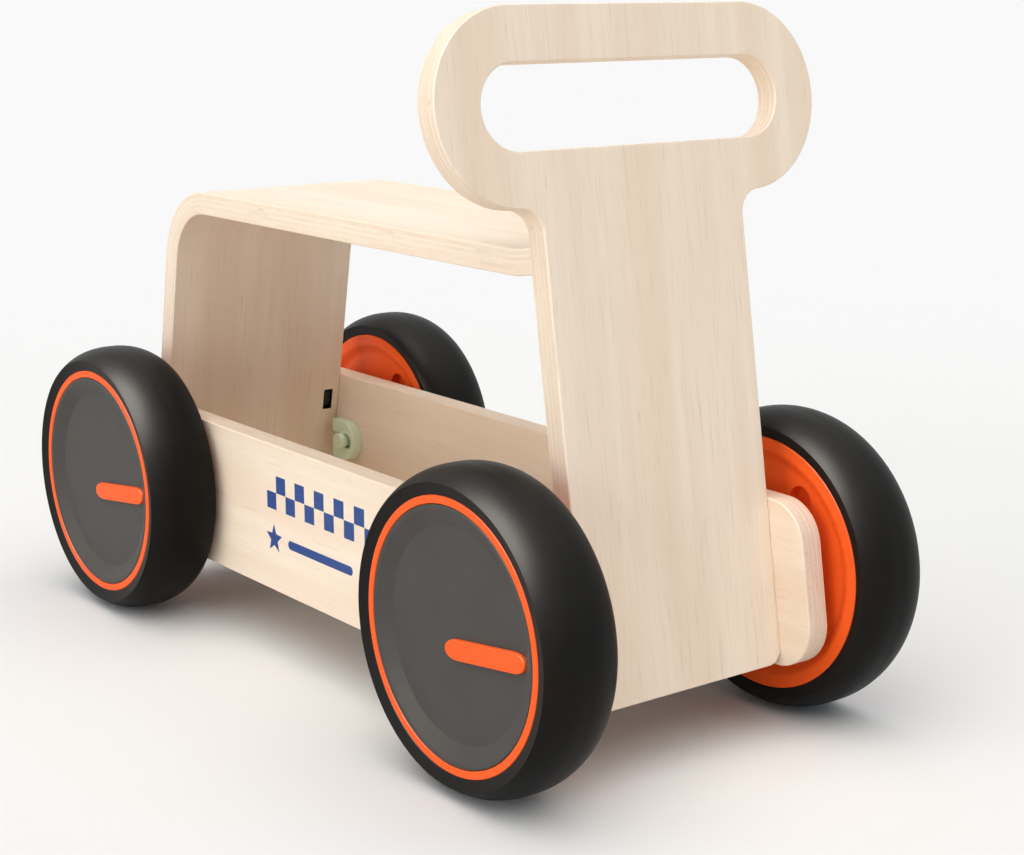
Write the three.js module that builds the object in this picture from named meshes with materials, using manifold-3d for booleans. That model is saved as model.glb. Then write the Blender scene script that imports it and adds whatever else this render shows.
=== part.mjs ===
// A child's ride-on car of plywood: two side boards hold a leaning handle panel and a seat that is
// bent from one sheet, and four moulded wheels turn on pins through the boards.
// Millimetres, +Z up, the handle end faces -Y, the origin lies on the ground below the middle.
// Left and right are the rider's, so the right side is -X.

import * as THREE from 'three';
import { mergeVertices } from 'three/addons/utils/BufferGeometryUtils.js';
import Module from 'manifold-3d';

const wasm = await Module();
wasm.setup();

const deg = THREE.MathUtils.degToRad;

// Body
const PLY = 13;
const SEAT_WIDTH = 126.4;
const SEAT_HEIGHT = 254;
const WHEEL_BASE = 364;
const PANEL_LEAN = deg(9.3);
const LEG_LEAN = deg(10.3);
const PANEL_TO_CLIP = 2.3;
const LEG_TO_CLIP = 7.2;

// Side boards
const BOARD_HEIGHT = 86;
const BOARD_DROP = 1;
const BOARD_OVERHANG = 22;
const BOARD_CORNER = 23;

// Handle panel
const PANEL_LENGTH = 333.5;
const GRIP_LENGTH = 237.2;
const GRIP_BAND = 26.2;
const SLOT_HEIGHT = 40.5;
const NECK_FILLET = 12;
const PANEL_CORNER = 8;

// Bent seat
const BEND_RADIUS = 35;
const TIP_RADIUS = 60;
const TIP_LENGTH = 7;

// Floor of the hold
const FLOOR_THICKNESS = 6;
const FLOOR_GROOVE = 4;
const FLOOR_TO_BOARD_EDGE = 5;

// Tyres
const WHEEL_RADIUS = 80;
const TYRE_DEPTH = 12.8;
const TYRE_WIDTH = 44;
const TREAD_FLAT = 4;
const SIDEWALL_BAND = 5;
const CROWN_START = deg(12);

// Rims
const RIM_WIDTH = 39.2;
const RING_WIDTH = 4.1;
const RIM_WALL = 9;
const INNER_BAND = 5;
const DISH_DEPTH = 3.6;
const DISH_RUN = 10;
const WEB = 8.5;
const WEB_HOLES = 4;
const WEB_HOLE_RADIUS = 7.5;
const WEB_HOLE_EDGE = 0.5;
const WEB_HOLE_FLOOR = 2;
const WEB_HOLE_ANGLE = deg(122);
const HUB_RADIUS = 16;

// Hub caps and badges
const CAP_THICKNESS = 3;
const CAP_LIP = 2;
const BADGE_LENGTH = 61;
const BADGE_WIDTH = 11;
const BADGE_SINK = 1.6;
const BADGE_BELOW_RING = 0.3;
const BADGE_REACH = 26;
const BADGE_DROP = 2;
const BADGE_TILT = deg(8);

// Axle pins, washers and clips
const PIN_RADIUS = 5.3;
const PIN_TIP = 4.2;
const PIN_GROOVE = 1;
const PIN_HEAD_RADIUS = 9;
const PIN_HEAD = 3;
const PIN_HEAD_ROOM = 1.6;
const WASHER_RADIUS = 13;
const WASHER = 1;
const CLIP_RADIUS = 13;
const CLIP_LENGTH = 12;
const CLIP_THICKNESS = 7;
const CLIP_SLOT_RUN = 4.7;

// Bolts, captive nuts and dowels
const BOLT_RADIUS = 3;
const BOLT_HEAD_RADIUS = 7.5;
const BOLT_HEAD = 2.2;
const BOLT_PAST_NUT = 3;
const BOLT_UP = 26;
const BOLT_DOWN = 23;
const NUT_THICKNESS = 6;
const NUT_HEIGHT = 13;
const NUT_DEPTH = 9;
const NUT_CORNER = 2.5;
const NUT_INSET = 5.5;
const DOWEL_RADIUS = 4;
const DOWEL_IN_PANEL = 8;
const DOWEL_IN_SEAT = 14;
const DOWEL_SPACING = 70;

// Clearances
const FIT = 0.3;
const SLIDE = 0.25;
const BOARD_TO_TYRE = 2.5;

// Facets
const WHEEL_FACETS = 32;
const PIN_FACETS = 12;
const BOLT_FACETS = 8;
const CROWN_STEPS = 4;
const DISH_STEPS = 2;
const ARC_ERROR = 0.2;

// Places across the car
const HALF_WIDTH = SEAT_WIDTH / 2;
const BOARD_OUT = HALF_WIDTH + PLY;
const HALF_TRACK = BOARD_OUT + BOARD_TO_TYRE + TYRE_WIDTH / 2;
const SIDES = { right: -1, left: 1 };

// Places along and up the car, from the front axle
const AXLES = { front: 0, rear: WHEEL_BASE };
const BOARD_TOP = BOARD_HEIGHT / 2 - BOARD_DROP;
const BOARD_BOTTOM = BOARD_TOP - BOARD_HEIGHT;
const PANEL_BACK = -(CLIP_RADIUS + PANEL_TO_CLIP) / Math.cos(PANEL_LEAN);
const LEG_FRONT = WHEEL_BASE + (CLIP_LENGTH + LEG_TO_CLIP) / Math.cos(LEG_LEAN);
const SEAT_TOP = SEAT_HEIGHT - WHEEL_RADIUS;
const FLOOR_BOTTOM = BOARD_BOTTOM + FLOOR_TO_BOARD_EDGE;
const FLOOR_TOP = FLOOR_BOTTOM + FLOOR_THICKNESS;
const BOLT_LEVELS = { upper: BOLT_UP, lower: -BOLT_DOWN };

// Places in a wheel, outwards from its middle
const RIM_RADIUS = WHEEL_RADIUS - TYRE_DEPTH;
const RIM_FACE = RIM_WIDTH / 2;
const RING_INNER = RIM_RADIUS - RING_WIDTH;
const BARREL_RADIUS = RIM_RADIUS - RIM_WALL;
const DISH_RADIUS = RIM_RADIUS - INNER_BAND - DISH_RUN;
const WEB_INNER = -RIM_FACE + DISH_DEPTH;
const WEB_OUTER = WEB_INNER + WEB;
const CAP_FLOOR = RIM_FACE - DISH_DEPTH;
const CAP_UNDER = CAP_FLOOR - CAP_THICKNESS;
const CAP_SEAT = RIM_FACE - CAP_THICKNESS;
const HUB_INNER = BOARD_OUT + WASHER + FIT - HALF_TRACK;
const HUB_OUTER = CAP_UNDER - PIN_HEAD_ROOM - PIN_HEAD - FIT;

// Finishes
const finish = (color, roughness, metalness = 0) =>
  new THREE.MeshStandardMaterial({ color, roughness, metalness });
const birch = () => finish(0xe5cfb8, 0.55);
const beech = () => finish(0xd3b184, 0.6);
const rubber = () => finish(0x2a2826, 0.6);
const orange = () => finish(0xf96b30, 0.4);
const grey = () => finish(0x605d5a, 0.45);
const sage = () => finish(0xa0af87, 0.5);
const zinc = () => finish(0xb8babb, 0.35, 1);
const black = () => finish(0x2a2926, 0.5);

const car = new THREE.Group();
car.position.set(0, -WHEEL_BASE / 2, WHEEL_RADIUS);

// Adds one named piece to a group
function piece(parent, name, geometry, material) {
  const mesh = new THREE.Mesh(geometry, material);
  mesh.name = name;
  parent.add(mesh);
  return mesh;
}

// A group in the car at a place from the front axle, turned about X
function station(x, y, z, turn = 0) {
  const group = new THREE.Group();
  group.position.set(x, y, z);
  group.rotation.x = turn;
  car.add(group);
  return group;
}

// A closed solid for cutting
function solid(geometry) {
  const bare = geometry.clone();
  bare.deleteAttribute('normal');
  bare.deleteAttribute('uv');
  const merged = mergeVertices(bare, 1e-4);
  return new wasm.Manifold(new wasm.Mesh({
    numProp: 3,
    vertProperties: new Float32Array(merged.attributes.position.array),
    triVerts: new Uint32Array(merged.index.array),
  }));
}

// The base geometry less every cutter
function cut(base, cutters) {
  let rest = solid(base);
  for (const cutter of cutters) {
    rest = rest.subtract(solid(cutter));
  }
  const mesh = rest.getMesh();
  const geometry = new THREE.BufferGeometry();
  geometry.setAttribute('position', new THREE.BufferAttribute(mesh.vertProperties, 3));
  geometry.setIndex(new THREE.BufferAttribute(mesh.triVerts, 1));
  geometry.computeVertexNormals();
  return geometry;
}

// A plate across the car: the outline lies in XZ and the body fills y from 0 to thickness
function crossPlate(outline, thickness) {
  const plate = new THREE.ExtrudeGeometry(outline, { depth: thickness, bevelEnabled: false });
  return plate.rotateX(Math.PI / 2).translate(0, thickness, 0);
}

// A plate along the car: the outline lies in YZ and the body fills x from 0 to thickness
function longPlate(outline, thickness) {
  const plate = new THREE.ExtrudeGeometry(outline, { depth: thickness, bevelEnabled: false });
  return plate.rotateX(Math.PI / 2).rotateZ(Math.PI / 2);
}

// A body turned about the X axis from [radius, x] points, from the axis round to the axis
function turned(points, segments) {
  const profile = points.map(([radius, x]) => new THREE.Vector2(radius, x));
  return new THREE.LatheGeometry(profile, segments).rotateZ(-Math.PI / 2);
}

// A ring turned about the X axis, whose profile closes on itself
function turnedRing(points, segments) {
  return turned([...points, points[0]], segments);
}

// A round bar along X between two places
function bar(radius, from, to, segments) {
  const rod = new THREE.CylinderGeometry(radius, radius, Math.abs(to - from), segments);
  return rod.rotateZ(-Math.PI / 2).translate((from + to) / 2, 0, 0);
}

// The points of an arc from one angle to another, close enough to the true curve
function arc(a, b, radius, from, to) {
  const step = 2 * Math.acos(1 - Math.min(1, ARC_ERROR / radius));
  const count = Math.ceil(Math.abs(to - from) / step);
  const points = [];
  for (let index = 0; index <= count; index += 1) {
    const angle = from + ((to - from) * index) / count;
    points.push(new THREE.Vector2(a + radius * Math.cos(angle), b + radius * Math.sin(angle)));
  }
  return points;
}

// A closed outline through points, where arcs that meet share their point
function outlineOf(points) {
  const apart = (point, index) => {
    const before = points[(index + points.length - 1) % points.length];
    return point.distanceTo(before) > 1e-6;
  };
  return new THREE.Shape(points.filter(apart));
}

// An outline through corners [a, b] in counter-clockwise order, all rounded alike
function roundedOutline(corners, radius) {
  const points = corners.map(([a, b]) => new THREE.Vector2(a, b));
  const arcs = points.flatMap((corner, index) => {
    const before = points[(index + points.length - 1) % points.length];
    const after = points[(index + 1) % points.length];
    const back = before.clone().sub(corner).normalize();
    const ahead = after.clone().sub(corner).normalize();
    const opening = Math.acos(back.dot(ahead));
    const middle = back.add(ahead).normalize();
    const centre = corner.clone().addScaledVector(middle, radius / Math.sin(opening / 2));
    const outward = Math.atan2(-middle.y, -middle.x);
    const swing = (Math.PI - opening) / 2;
    return arc(centre.x, centre.y, radius, outward - swing, outward + swing);
  });
  return outlineOf(arcs);
}

// A level pill-shaped outline round a centre
function pill(a, b, length, width) {
  const radius = width / 2;
  const half = length / 2 - radius;
  return outlineOf([
    ...arc(a + half, b, radius, -Math.PI / 2, Math.PI / 2),
    ...arc(a - half, b, radius, Math.PI / 2, Math.PI * 1.5),
  ]);
}

// A round hole in an outline, with the facets of what goes through it
function roundHole(a, b, radius, facets) {
  const points = [];
  for (let index = 0; index < facets; index += 1) {
    const angle = (index * 2 * Math.PI) / facets;
    points.push(new THREE.Vector2(a + radius * Math.cos(angle), b + radius * Math.sin(angle)));
  }
  return new THREE.Path(points);
}

// Where the back face of the panel and the front face of the leg cross a height
const panelBackAt = (z) => PANEL_BACK + z * Math.tan(PANEL_LEAN);
const legFrontAt = (z) => LEG_FRONT - z * Math.tan(LEG_LEAN);

// The two sheets between the boards: y = 0 of each is the face towards the hold, and depth is the
// way into the sheet
const SHEETS = {
  panel: { y: PANEL_BACK, turn: -PANEL_LEAN, into: -1 },
  leg: { y: LEG_FRONT, turn: LEG_LEAN, into: 1 },
};

// A point of a sheet as [y, z] in the car
function onSheet(sheet, depth, level) {
  const across = sheet.into * depth;
  return [
    sheet.y + across * Math.cos(sheet.turn) - level * Math.sin(sheet.turn),
    across * Math.sin(sheet.turn) + level * Math.cos(sheet.turn),
  ];
}

// Nut pockets and bolt bores of one sheet, in the sheet's own frame
function nutCuts(sheet) {
  const middle = HALF_WIDTH - NUT_INSET - NUT_THICKNESS / 2;
  const pocketDepth = (PLY + NUT_DEPTH) / 2 + FIT;
  const boreEnd = HALF_WIDTH - NUT_INSET - NUT_THICKNESS - BOLT_PAST_NUT - FIT;
  const cuts = [];
  for (const side of Object.values(SIDES)) {
    for (const level of Object.values(BOLT_LEVELS)) {
      const pocket = new THREE.BoxGeometry(NUT_THICKNESS + 2 * FIT, 2 * pocketDepth, NUT_HEIGHT + 2 * FIT);
      cuts.push(pocket.translate(side * middle, 0, level));
      const bore = bar(BOLT_RADIUS + FIT, side * boreEnd, side * (HALF_WIDTH + PLY), BOLT_FACETS);
      cuts.push(bore.translate(0, sheet.into * PLY / 2, level));
    }
  }
  return cuts;
}

// Side boards: leaning ends parallel to the panel and the leg, with bores and the floor's groove
function sideBoard(side) {
  const frontReach = (PLY + BOARD_OVERHANG) / Math.cos(PANEL_LEAN);
  const rearReach = (PLY + BOARD_OVERHANG) / Math.cos(LEG_LEAN);
  const outline = roundedOutline([
    [panelBackAt(BOARD_BOTTOM) - frontReach, BOARD_BOTTOM],
    [legFrontAt(BOARD_BOTTOM) + rearReach, BOARD_BOTTOM],
    [legFrontAt(BOARD_TOP) + rearReach, BOARD_TOP],
    [panelBackAt(BOARD_TOP) - frontReach, BOARD_TOP],
  ], BOARD_CORNER);
  for (const axleY of Object.values(AXLES)) {
    outline.holes.push(roundHole(axleY, 0, PIN_RADIUS + SLIDE, PIN_FACETS));
  }
  for (const sheet of Object.values(SHEETS)) {
    for (const level of Object.values(BOLT_LEVELS)) {
      outline.holes.push(roundHole(...onSheet(sheet, PLY / 2, level), BOLT_RADIUS + FIT, BOLT_FACETS));
    }
  }
  const board = longPlate(outline, PLY).translate(side > 0 ? HALF_WIDTH : -BOARD_OUT, 0, 0);
  const grooveFront = panelBackAt(FLOOR_TOP);
  const grooveRear = legFrontAt(FLOOR_TOP);
  const groove = new THREE.BoxGeometry(
    2 * (HALF_WIDTH + FLOOR_GROOVE + FIT),
    grooveRear - grooveFront,
    FLOOR_THICKNESS + 2 * FIT,
  ).translate(0, (grooveFront + grooveRear) / 2, (FLOOR_TOP + FLOOR_BOTTOM) / 2);
  return cut(board, [groove]);
}

for (const [sideName, side] of Object.entries(SIDES)) {
  piece(car, `side_board_${sideName}`, sideBoard(side), birch());
}

// Floor of the hold, slid into the grooves of the boards
function floorPanel() {
  const front = panelBackAt(FLOOR_TOP) + FIT;
  const rear = legFrontAt(FLOOR_TOP) - FIT;
  const floor = new THREE.BoxGeometry(2 * (HALF_WIDTH + FLOOR_GROOVE), rear - front, FLOOR_THICKNESS);
  return floor.translate(0, (front + rear) / 2, (FLOOR_TOP + FLOOR_BOTTOM) / 2);
}

piece(car, 'floor_panel', floorPanel(), birch());

// The seat's top line from the panel: a short tip square to the panel, a slow curve to level, the
// flat seat, and the bend down into the leg
const TIP_LIFT = TIP_RADIUS * (1 - Math.cos(PANEL_LEAN)) + TIP_LENGTH * Math.sin(PANEL_LEAN);
const TIP_REACH = TIP_RADIUS * Math.sin(PANEL_LEAN) + TIP_LENGTH * Math.cos(PANEL_LEAN);
const TIP_Z = SEAT_TOP + TIP_LIFT;
const TIP_Y = panelBackAt(TIP_Z) + FIT / Math.cos(PANEL_LEAN);

// The seat's front edge as a level on the panel, at the middle of the sheet
const TIP_LEVEL = (TIP_Y - PANEL_BACK) * Math.sin(PANEL_LEAN) + TIP_Z * Math.cos(PANEL_LEAN) - PLY / 2;

// One sheet, bent: the outline lies in YZ
function seatOutline() {
  const levelY = TIP_Y + TIP_REACH;
  const legNormal = new THREE.Vector2(Math.cos(LEG_LEAN), Math.sin(LEG_LEAN));
  const bendZ = SEAT_TOP - PLY - BEND_RADIUS;
  const bendY = legFrontAt(bendZ) - BEND_RADIUS / Math.cos(LEG_LEAN);
  const toe = new THREE.Vector2(legFrontAt(BOARD_BOTTOM), BOARD_BOTTOM);
  const heel = toe.clone().addScaledVector(legNormal, PLY);
  const tipStart = -Math.PI / 2 - PANEL_LEAN;
  const tipFall = new THREE.Vector2(Math.sin(PANEL_LEAN), Math.cos(PANEL_LEAN)).multiplyScalar(PLY);
  const tip = new THREE.Vector2(TIP_Y, TIP_Z);
  return outlineOf([
    tip,
    tip.clone().sub(tipFall),
    ...arc(levelY, SEAT_TOP + TIP_RADIUS, TIP_RADIUS + PLY, tipStart, -Math.PI / 2),
    ...arc(bendY, bendZ, BEND_RADIUS, Math.PI / 2, LEG_LEAN),
    toe,
    heel,
    ...arc(bendY, bendZ, BEND_RADIUS + PLY, LEG_LEAN, Math.PI / 2),
    ...arc(levelY, SEAT_TOP + TIP_RADIUS, TIP_RADIUS, -Math.PI / 2, tipStart),
  ]);
}

// Dowels that hold the seat's front edge to the panel, in the panel's frame
function dowel(clearance) {
  const length = DOWEL_IN_PANEL + DOWEL_IN_SEAT + 2 * clearance;
  const rod = new THREE.CylinderGeometry(DOWEL_RADIUS + clearance, DOWEL_RADIUS + clearance, length, BOLT_FACETS);
  return rod.translate(0, (DOWEL_IN_SEAT - DOWEL_IN_PANEL) / 2, 0);
}

const dowelBores = () => Object.values(SIDES).map((side) =>
  dowel(FIT).translate(side * DOWEL_SPACING / 2, 0, TIP_LEVEL));

function bentSeat() {
  const sheet = longPlate(seatOutline(), SEAT_WIDTH).translate(-HALF_WIDTH, 0, 0);
  const legCuts = nutCuts(SHEETS.leg).map((tool) => tool.rotateX(SHEETS.leg.turn).translate(0, SHEETS.leg.y, 0));
  const tipCuts = dowelBores().map((tool) => tool.rotateX(SHEETS.panel.turn).translate(0, SHEETS.panel.y, 0));
  return cut(sheet, [...legCuts, ...tipCuts]);
}

piece(car, 'bent_seat', bentSeat(), birch());

// Handle panel: a straight stem, filleted into a pill-shaped grip with a hand slot
function panelOutline() {
  const foot = BOARD_BOTTOM / Math.cos(PANEL_LEAN);
  const gripRadius = SLOT_HEIGHT / 2 + GRIP_BAND;
  const gripZ = foot + PANEL_LENGTH - gripRadius;
  const gripHalf = GRIP_LENGTH / 2 - gripRadius;
  const filletX = HALF_WIDTH + NECK_FILLET;
  const past = Math.max(0, filletX - gripHalf);
  const drop = Math.sqrt((gripRadius + NECK_FILLET) ** 2 - past ** 2);
  const filletZ = gripZ - drop;
  const touch = Math.atan2(drop, past);
  const cornerX = HALF_WIDTH - PANEL_CORNER;
  const cornerZ = foot + PANEL_CORNER;
  const shape = outlineOf([
    ...arc(cornerX, cornerZ, PANEL_CORNER, -Math.PI / 2, 0),
    ...arc(filletX, filletZ, NECK_FILLET, Math.PI, Math.PI - touch),
    ...arc(gripHalf, gripZ, gripRadius, -touch, Math.PI / 2),
    ...arc(-gripHalf, gripZ, gripRadius, Math.PI / 2, Math.PI + touch),
    ...arc(-filletX, filletZ, NECK_FILLET, touch, 0),
    ...arc(-cornerX, cornerZ, PANEL_CORNER, Math.PI, Math.PI * 1.5),
  ]);
  shape.holes.push(pill(0, gripZ, GRIP_LENGTH - 2 * GRIP_BAND, SLOT_HEIGHT));
  return shape;
}

function handlePanel() {
  const sheet = crossPlate(panelOutline(), PLY).translate(0, -PLY, 0);
  return cut(sheet, [...nutCuts(SHEETS.panel), ...dowelBores()]);
}

const panelStation = station(0, SHEETS.panel.y, 0, SHEETS.panel.turn);
const legStation = station(0, SHEETS.leg.y, 0, SHEETS.leg.turn);
piece(panelStation, 'handle_panel', handlePanel(), birch());

for (const [sideName, side] of Object.entries(SIDES)) {
  const peg = piece(panelStation, `seat_dowel_${sideName}`, dowel(0), beech());
  peg.position.set(side * DOWEL_SPACING / 2, 0, TIP_LEVEL);
}

// Bolts through the boards into the edges of the sheets
function bolt(side) {
  const tip = HALF_WIDTH - NUT_INSET - NUT_THICKNESS - BOLT_PAST_NUT;
  const body = turned([
    [0, tip],
    [BOLT_RADIUS, tip],
    [BOLT_RADIUS, BOARD_OUT],
    [BOLT_HEAD_RADIUS, BOARD_OUT],
    [BOLT_HEAD_RADIUS, BOARD_OUT + BOLT_HEAD],
    [0, BOARD_OUT + BOLT_HEAD],
  ], BOLT_FACETS);
  return side > 0 ? body : body.rotateZ(Math.PI);
}

// A block nut with rounded corners, bored along X
function captiveNut() {
  const corners = [[-1, -1], [1, -1], [1, 1], [-1, 1]].map(([a, b]) => [a * NUT_DEPTH / 2, b * NUT_HEIGHT / 2]);
  const outline = roundedOutline(corners, NUT_CORNER);
  outline.holes.push(roundHole(0, 0, BOLT_RADIUS + SLIDE, BOLT_FACETS));
  return longPlate(outline, NUT_THICKNESS).translate(-NUT_THICKNESS / 2, 0, 0);
}

const stations = { panel: panelStation, leg: legStation };
for (const [sheetName, sheet] of Object.entries(SHEETS)) {
  for (const [sideName, side] of Object.entries(SIDES)) {
    for (const [levelName, level] of Object.entries(BOLT_LEVELS)) {
      const where = `${sideName}_${levelName}`;
      const depth = sheet.into * PLY / 2;
      const screw = piece(stations[sheetName], `${sheetName}_bolt_${where}`, bolt(side), zinc());
      screw.position.set(0, depth, level);
      const nut = piece(stations[sheetName], `${sheetName}_nut_${where}`, captiveNut(), black());
      nut.position.set(side * (HALF_WIDTH - NUT_INSET - NUT_THICKNESS / 2), depth, level);
    }
  }
}

// Tyre: a sidewall band that slopes out to a crease, and a crown of two elliptic arcs beside a flat.
// Each arc starts part of the way up its ellipse, so the crown turns in at the crease.
function tyre() {
  const crease = RIM_RADIUS + SIDEWALL_BAND;
  const flat = TREAD_FLAT / 2;
  const rise = (WHEEL_RADIUS - crease) / (1 - Math.sin(CROWN_START));
  const run = (TYRE_WIDTH / 2 - flat) / Math.cos(CROWN_START);
  const shoulder = [];
  for (let step = 0; step <= CROWN_STEPS; step += 1) {
    const angle = CROWN_START + ((Math.PI / 2 - CROWN_START) * step) / CROWN_STEPS;
    shoulder.push([WHEEL_RADIUS - rise * (1 - Math.sin(angle)), flat + run * Math.cos(angle)]);
  }
  const mirrored = shoulder.map(([radius, x]) => [radius, -x]);
  return turnedRing([
    [RIM_RADIUS + FIT, -RIM_FACE],
    ...mirrored,
    ...shoulder.reverse(),
    [RIM_RADIUS + FIT, RIM_FACE],
  ], WHEEL_FACETS);
}

// The soft S of a dish wall: from the floor at a radius up or down to the face
function dishWall(radius, floor, face) {
  const points = [];
  for (let step = 0; step <= DISH_STEPS; step += 1) {
    const share = step / DISH_STEPS;
    const blend = (1 - Math.cos(Math.PI * share)) / 2;
    points.push([radius + DISH_RUN * share, floor + (face - floor) * blend]);
  }
  return points;
}

// Rim: barrel, dished web with blind holes towards the board, and a hub from the washer to the pin's head
function rim() {
  const bore = PIN_RADIUS + SLIDE;
  const body = turnedRing([
    [bore, HUB_INNER],
    [HUB_RADIUS, HUB_INNER],
    [HUB_RADIUS, WEB_INNER],
    ...dishWall(DISH_RADIUS, WEB_INNER, -RIM_FACE),
    [RIM_RADIUS, -RIM_FACE],
    [RIM_RADIUS, RIM_FACE],
    [RING_INNER, RIM_FACE],
    [RING_INNER, CAP_SEAT],
    [BARREL_RADIUS, CAP_SEAT],
    [BARREL_RADIUS, WEB_OUTER],
    [HUB_RADIUS, WEB_OUTER],
    [HUB_RADIUS, HUB_OUTER],
    [bore, HUB_OUTER],
  ], WHEEL_FACETS);
  const reach = DISH_RADIUS - WEB_HOLE_RADIUS - WEB_HOLE_EDGE;
  const holes = [];
  for (let index = 0; index < WEB_HOLES; index += 1) {
    const angle = WEB_HOLE_ANGLE + (index * 2 * Math.PI) / WEB_HOLES;
    const hole = bar(WEB_HOLE_RADIUS, WEB_INNER - WEB, WEB_OUTER - WEB_HOLE_FLOOR, PIN_FACETS);
    holes.push(hole.translate(0, reach * Math.cos(angle), reach * Math.sin(angle)));
  }
  return cut(body, holes);
}

// A badge bar, or with a clearance the pocket that it sits in
function badgeBar(clearance) {
  const outline = pill(0, 0, BADGE_LENGTH + 2 * clearance, BADGE_WIDTH + 2 * clearance);
  const base = CAP_FLOOR - BADGE_SINK - clearance;
  const top = RIM_FACE - BADGE_BELOW_RING + clearance;
  const body = longPlate(outline, top - base).translate(base, 0, 0);
  return body.rotateX(BADGE_TILT).translate(0, BADGE_REACH, -BADGE_DROP);
}

// Hub cap: a dished disc with a spigot that centres it in the barrel
function hubCap() {
  const edge = RING_INNER - FIT;
  const spigot = BARREL_RADIUS - FIT;
  const under = CAP_SEAT + FIT;
  const body = turned([
    [0, CAP_UNDER],
    [spigot, CAP_UNDER],
    [spigot, under],
    [edge, under],
    [edge, RIM_FACE],
    ...dishWall(edge - CAP_LIP - DISH_RUN, CAP_FLOOR, RIM_FACE).reverse(),
    [0, CAP_FLOOR],
  ], WHEEL_FACETS);
  return cut(body, [badgeBar(FIT)]);
}

// Axle pin: a head outside the hub, and a groove for the clip inside the board
function axlePin() {
  const headFace = HALF_TRACK + HUB_OUTER + FIT;
  const groove = PIN_RADIUS - PIN_GROOVE;
  const grooveStart = HALF_WIDTH - CLIP_THICKNESS - SLIDE;
  const grooveEnd = HALF_WIDTH + SLIDE;
  return turned([
    [0, grooveStart - PIN_TIP],
    [PIN_RADIUS, grooveStart - PIN_TIP],
    [PIN_RADIUS, grooveStart],
    [groove, grooveStart],
    [groove, grooveEnd],
    [PIN_RADIUS, grooveEnd],
    [PIN_RADIUS, headFace],
    [PIN_HEAD_RADIUS, headFace],
    [PIN_HEAD_RADIUS, headFace + PIN_HEAD],
    [0, headFace + PIN_HEAD],
  ], PIN_FACETS);
}

function axleWasher() {
  const bore = PIN_RADIUS + SLIDE;
  return turnedRing([
    [bore, BOARD_OUT],
    [WASHER_RADIUS, BOARD_OUT],
    [WASHER_RADIUS, BOARD_OUT + WASHER],
    [bore, BOARD_OUT + WASHER],
  ], PIN_FACETS);
}

// A horseshoe clip that slides over the pin's groove, open to the rear
function axleClip(side) {
  const slot = PIN_RADIUS - PIN_GROOVE + SLIDE;
  const shape = outlineOf([
    ...arc(0, 0, CLIP_RADIUS, Math.PI / 2, Math.PI * 1.5),
    new THREE.Vector2(CLIP_LENGTH, -CLIP_RADIUS),
    new THREE.Vector2(CLIP_LENGTH, -slot),
    ...arc(-CLIP_SLOT_RUN, 0, slot, Math.PI * 1.5, Math.PI / 2),
    new THREE.Vector2(CLIP_LENGTH, slot),
    new THREE.Vector2(CLIP_LENGTH, CLIP_RADIUS),
  ]);
  const plate = longPlate(shape, CLIP_THICKNESS);
  return plate.translate(side > 0 ? HALF_WIDTH - CLIP_THICKNESS : -HALF_WIDTH, 0, 0);
}

for (const [axleName, axleY] of Object.entries(AXLES)) {
  for (const [sideName, side] of Object.entries(SIDES)) {
    const corner = `${axleName}_${sideName}`;
    const outward = side > 0 ? 0 : Math.PI;
    const wheel = station(side * HALF_TRACK, axleY, 0);
    wheel.rotation.z = outward;
    piece(wheel, `${corner}_tyre`, tyre(), rubber());
    piece(wheel, `${corner}_rim`, rim(), orange());
    piece(wheel, `${corner}_hub_cap`, hubCap(), grey());
    piece(wheel, `${corner}_badge`, badgeBar(0), orange());
    const axle = station(0, axleY, 0);
    axle.rotation.z = outward;
    piece(axle, `${corner}_axle_pin`, axlePin(), sage());
    piece(axle, `${corner}_axle_washer`, axleWasher(), zinc());
    piece(station(0, axleY, 0), `${corner}_axle_clip`, axleClip(side), sage());
  }
}

export default car;
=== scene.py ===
"""Studio view of a plywood ride-on car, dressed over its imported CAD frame.

Lengths are in metres. X runs across the car, Y from the handle end (-Y) to the
rear (+Y) and Z up. The floor is z = 0 and the middle of the car is y = 0.
"""

from __future__ import annotations

import logging
import math
from collections.abc import Callable, Sequence
from dataclasses import dataclass, field
from enum import Enum
from typing import Any, Union

import bmesh
import bpy
import numpy as np
from mathutils import Matrix, Vector
from mathutils.geometry import tessellate_polygon

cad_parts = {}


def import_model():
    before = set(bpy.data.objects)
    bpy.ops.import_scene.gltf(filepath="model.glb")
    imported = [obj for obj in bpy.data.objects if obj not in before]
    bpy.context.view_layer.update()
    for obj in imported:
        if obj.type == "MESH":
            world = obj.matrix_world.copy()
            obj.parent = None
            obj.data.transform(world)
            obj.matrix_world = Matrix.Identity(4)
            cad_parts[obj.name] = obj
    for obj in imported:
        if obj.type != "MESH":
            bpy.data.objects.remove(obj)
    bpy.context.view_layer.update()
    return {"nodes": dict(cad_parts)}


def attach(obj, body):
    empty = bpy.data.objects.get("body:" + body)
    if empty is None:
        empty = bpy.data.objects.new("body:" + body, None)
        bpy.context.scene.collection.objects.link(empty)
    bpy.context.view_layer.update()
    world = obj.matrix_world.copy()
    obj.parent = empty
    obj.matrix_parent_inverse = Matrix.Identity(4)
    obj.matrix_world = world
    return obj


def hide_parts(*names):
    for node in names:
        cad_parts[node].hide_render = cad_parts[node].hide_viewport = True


LOG = logging.getLogger("ride_on_car")
SHEET_ATTRIBUTE = "sheet"
ARC_STEP = math.radians(5)
ARC_LEAST_STEPS = 3
RING_POINTS = 144
SMALL_RING_POINTS = 48
CLOUD_DETAIL = 3.0
FINE_DETAIL = 2.0

Array = np.ndarray
Material = bpy.types.Material
Colour = tuple[float, float, float]
Triple = tuple[float, float, float]
Pair = tuple[float, float]
Scalar = Union["Wire", float]


class Opposite(Enum):
    """One of two opposite places on the car; the value is its sign."""

    @property
    def word(self) -> str:
        """The place's word in the CAD nodes' names."""
        return self.name.lower()


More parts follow.
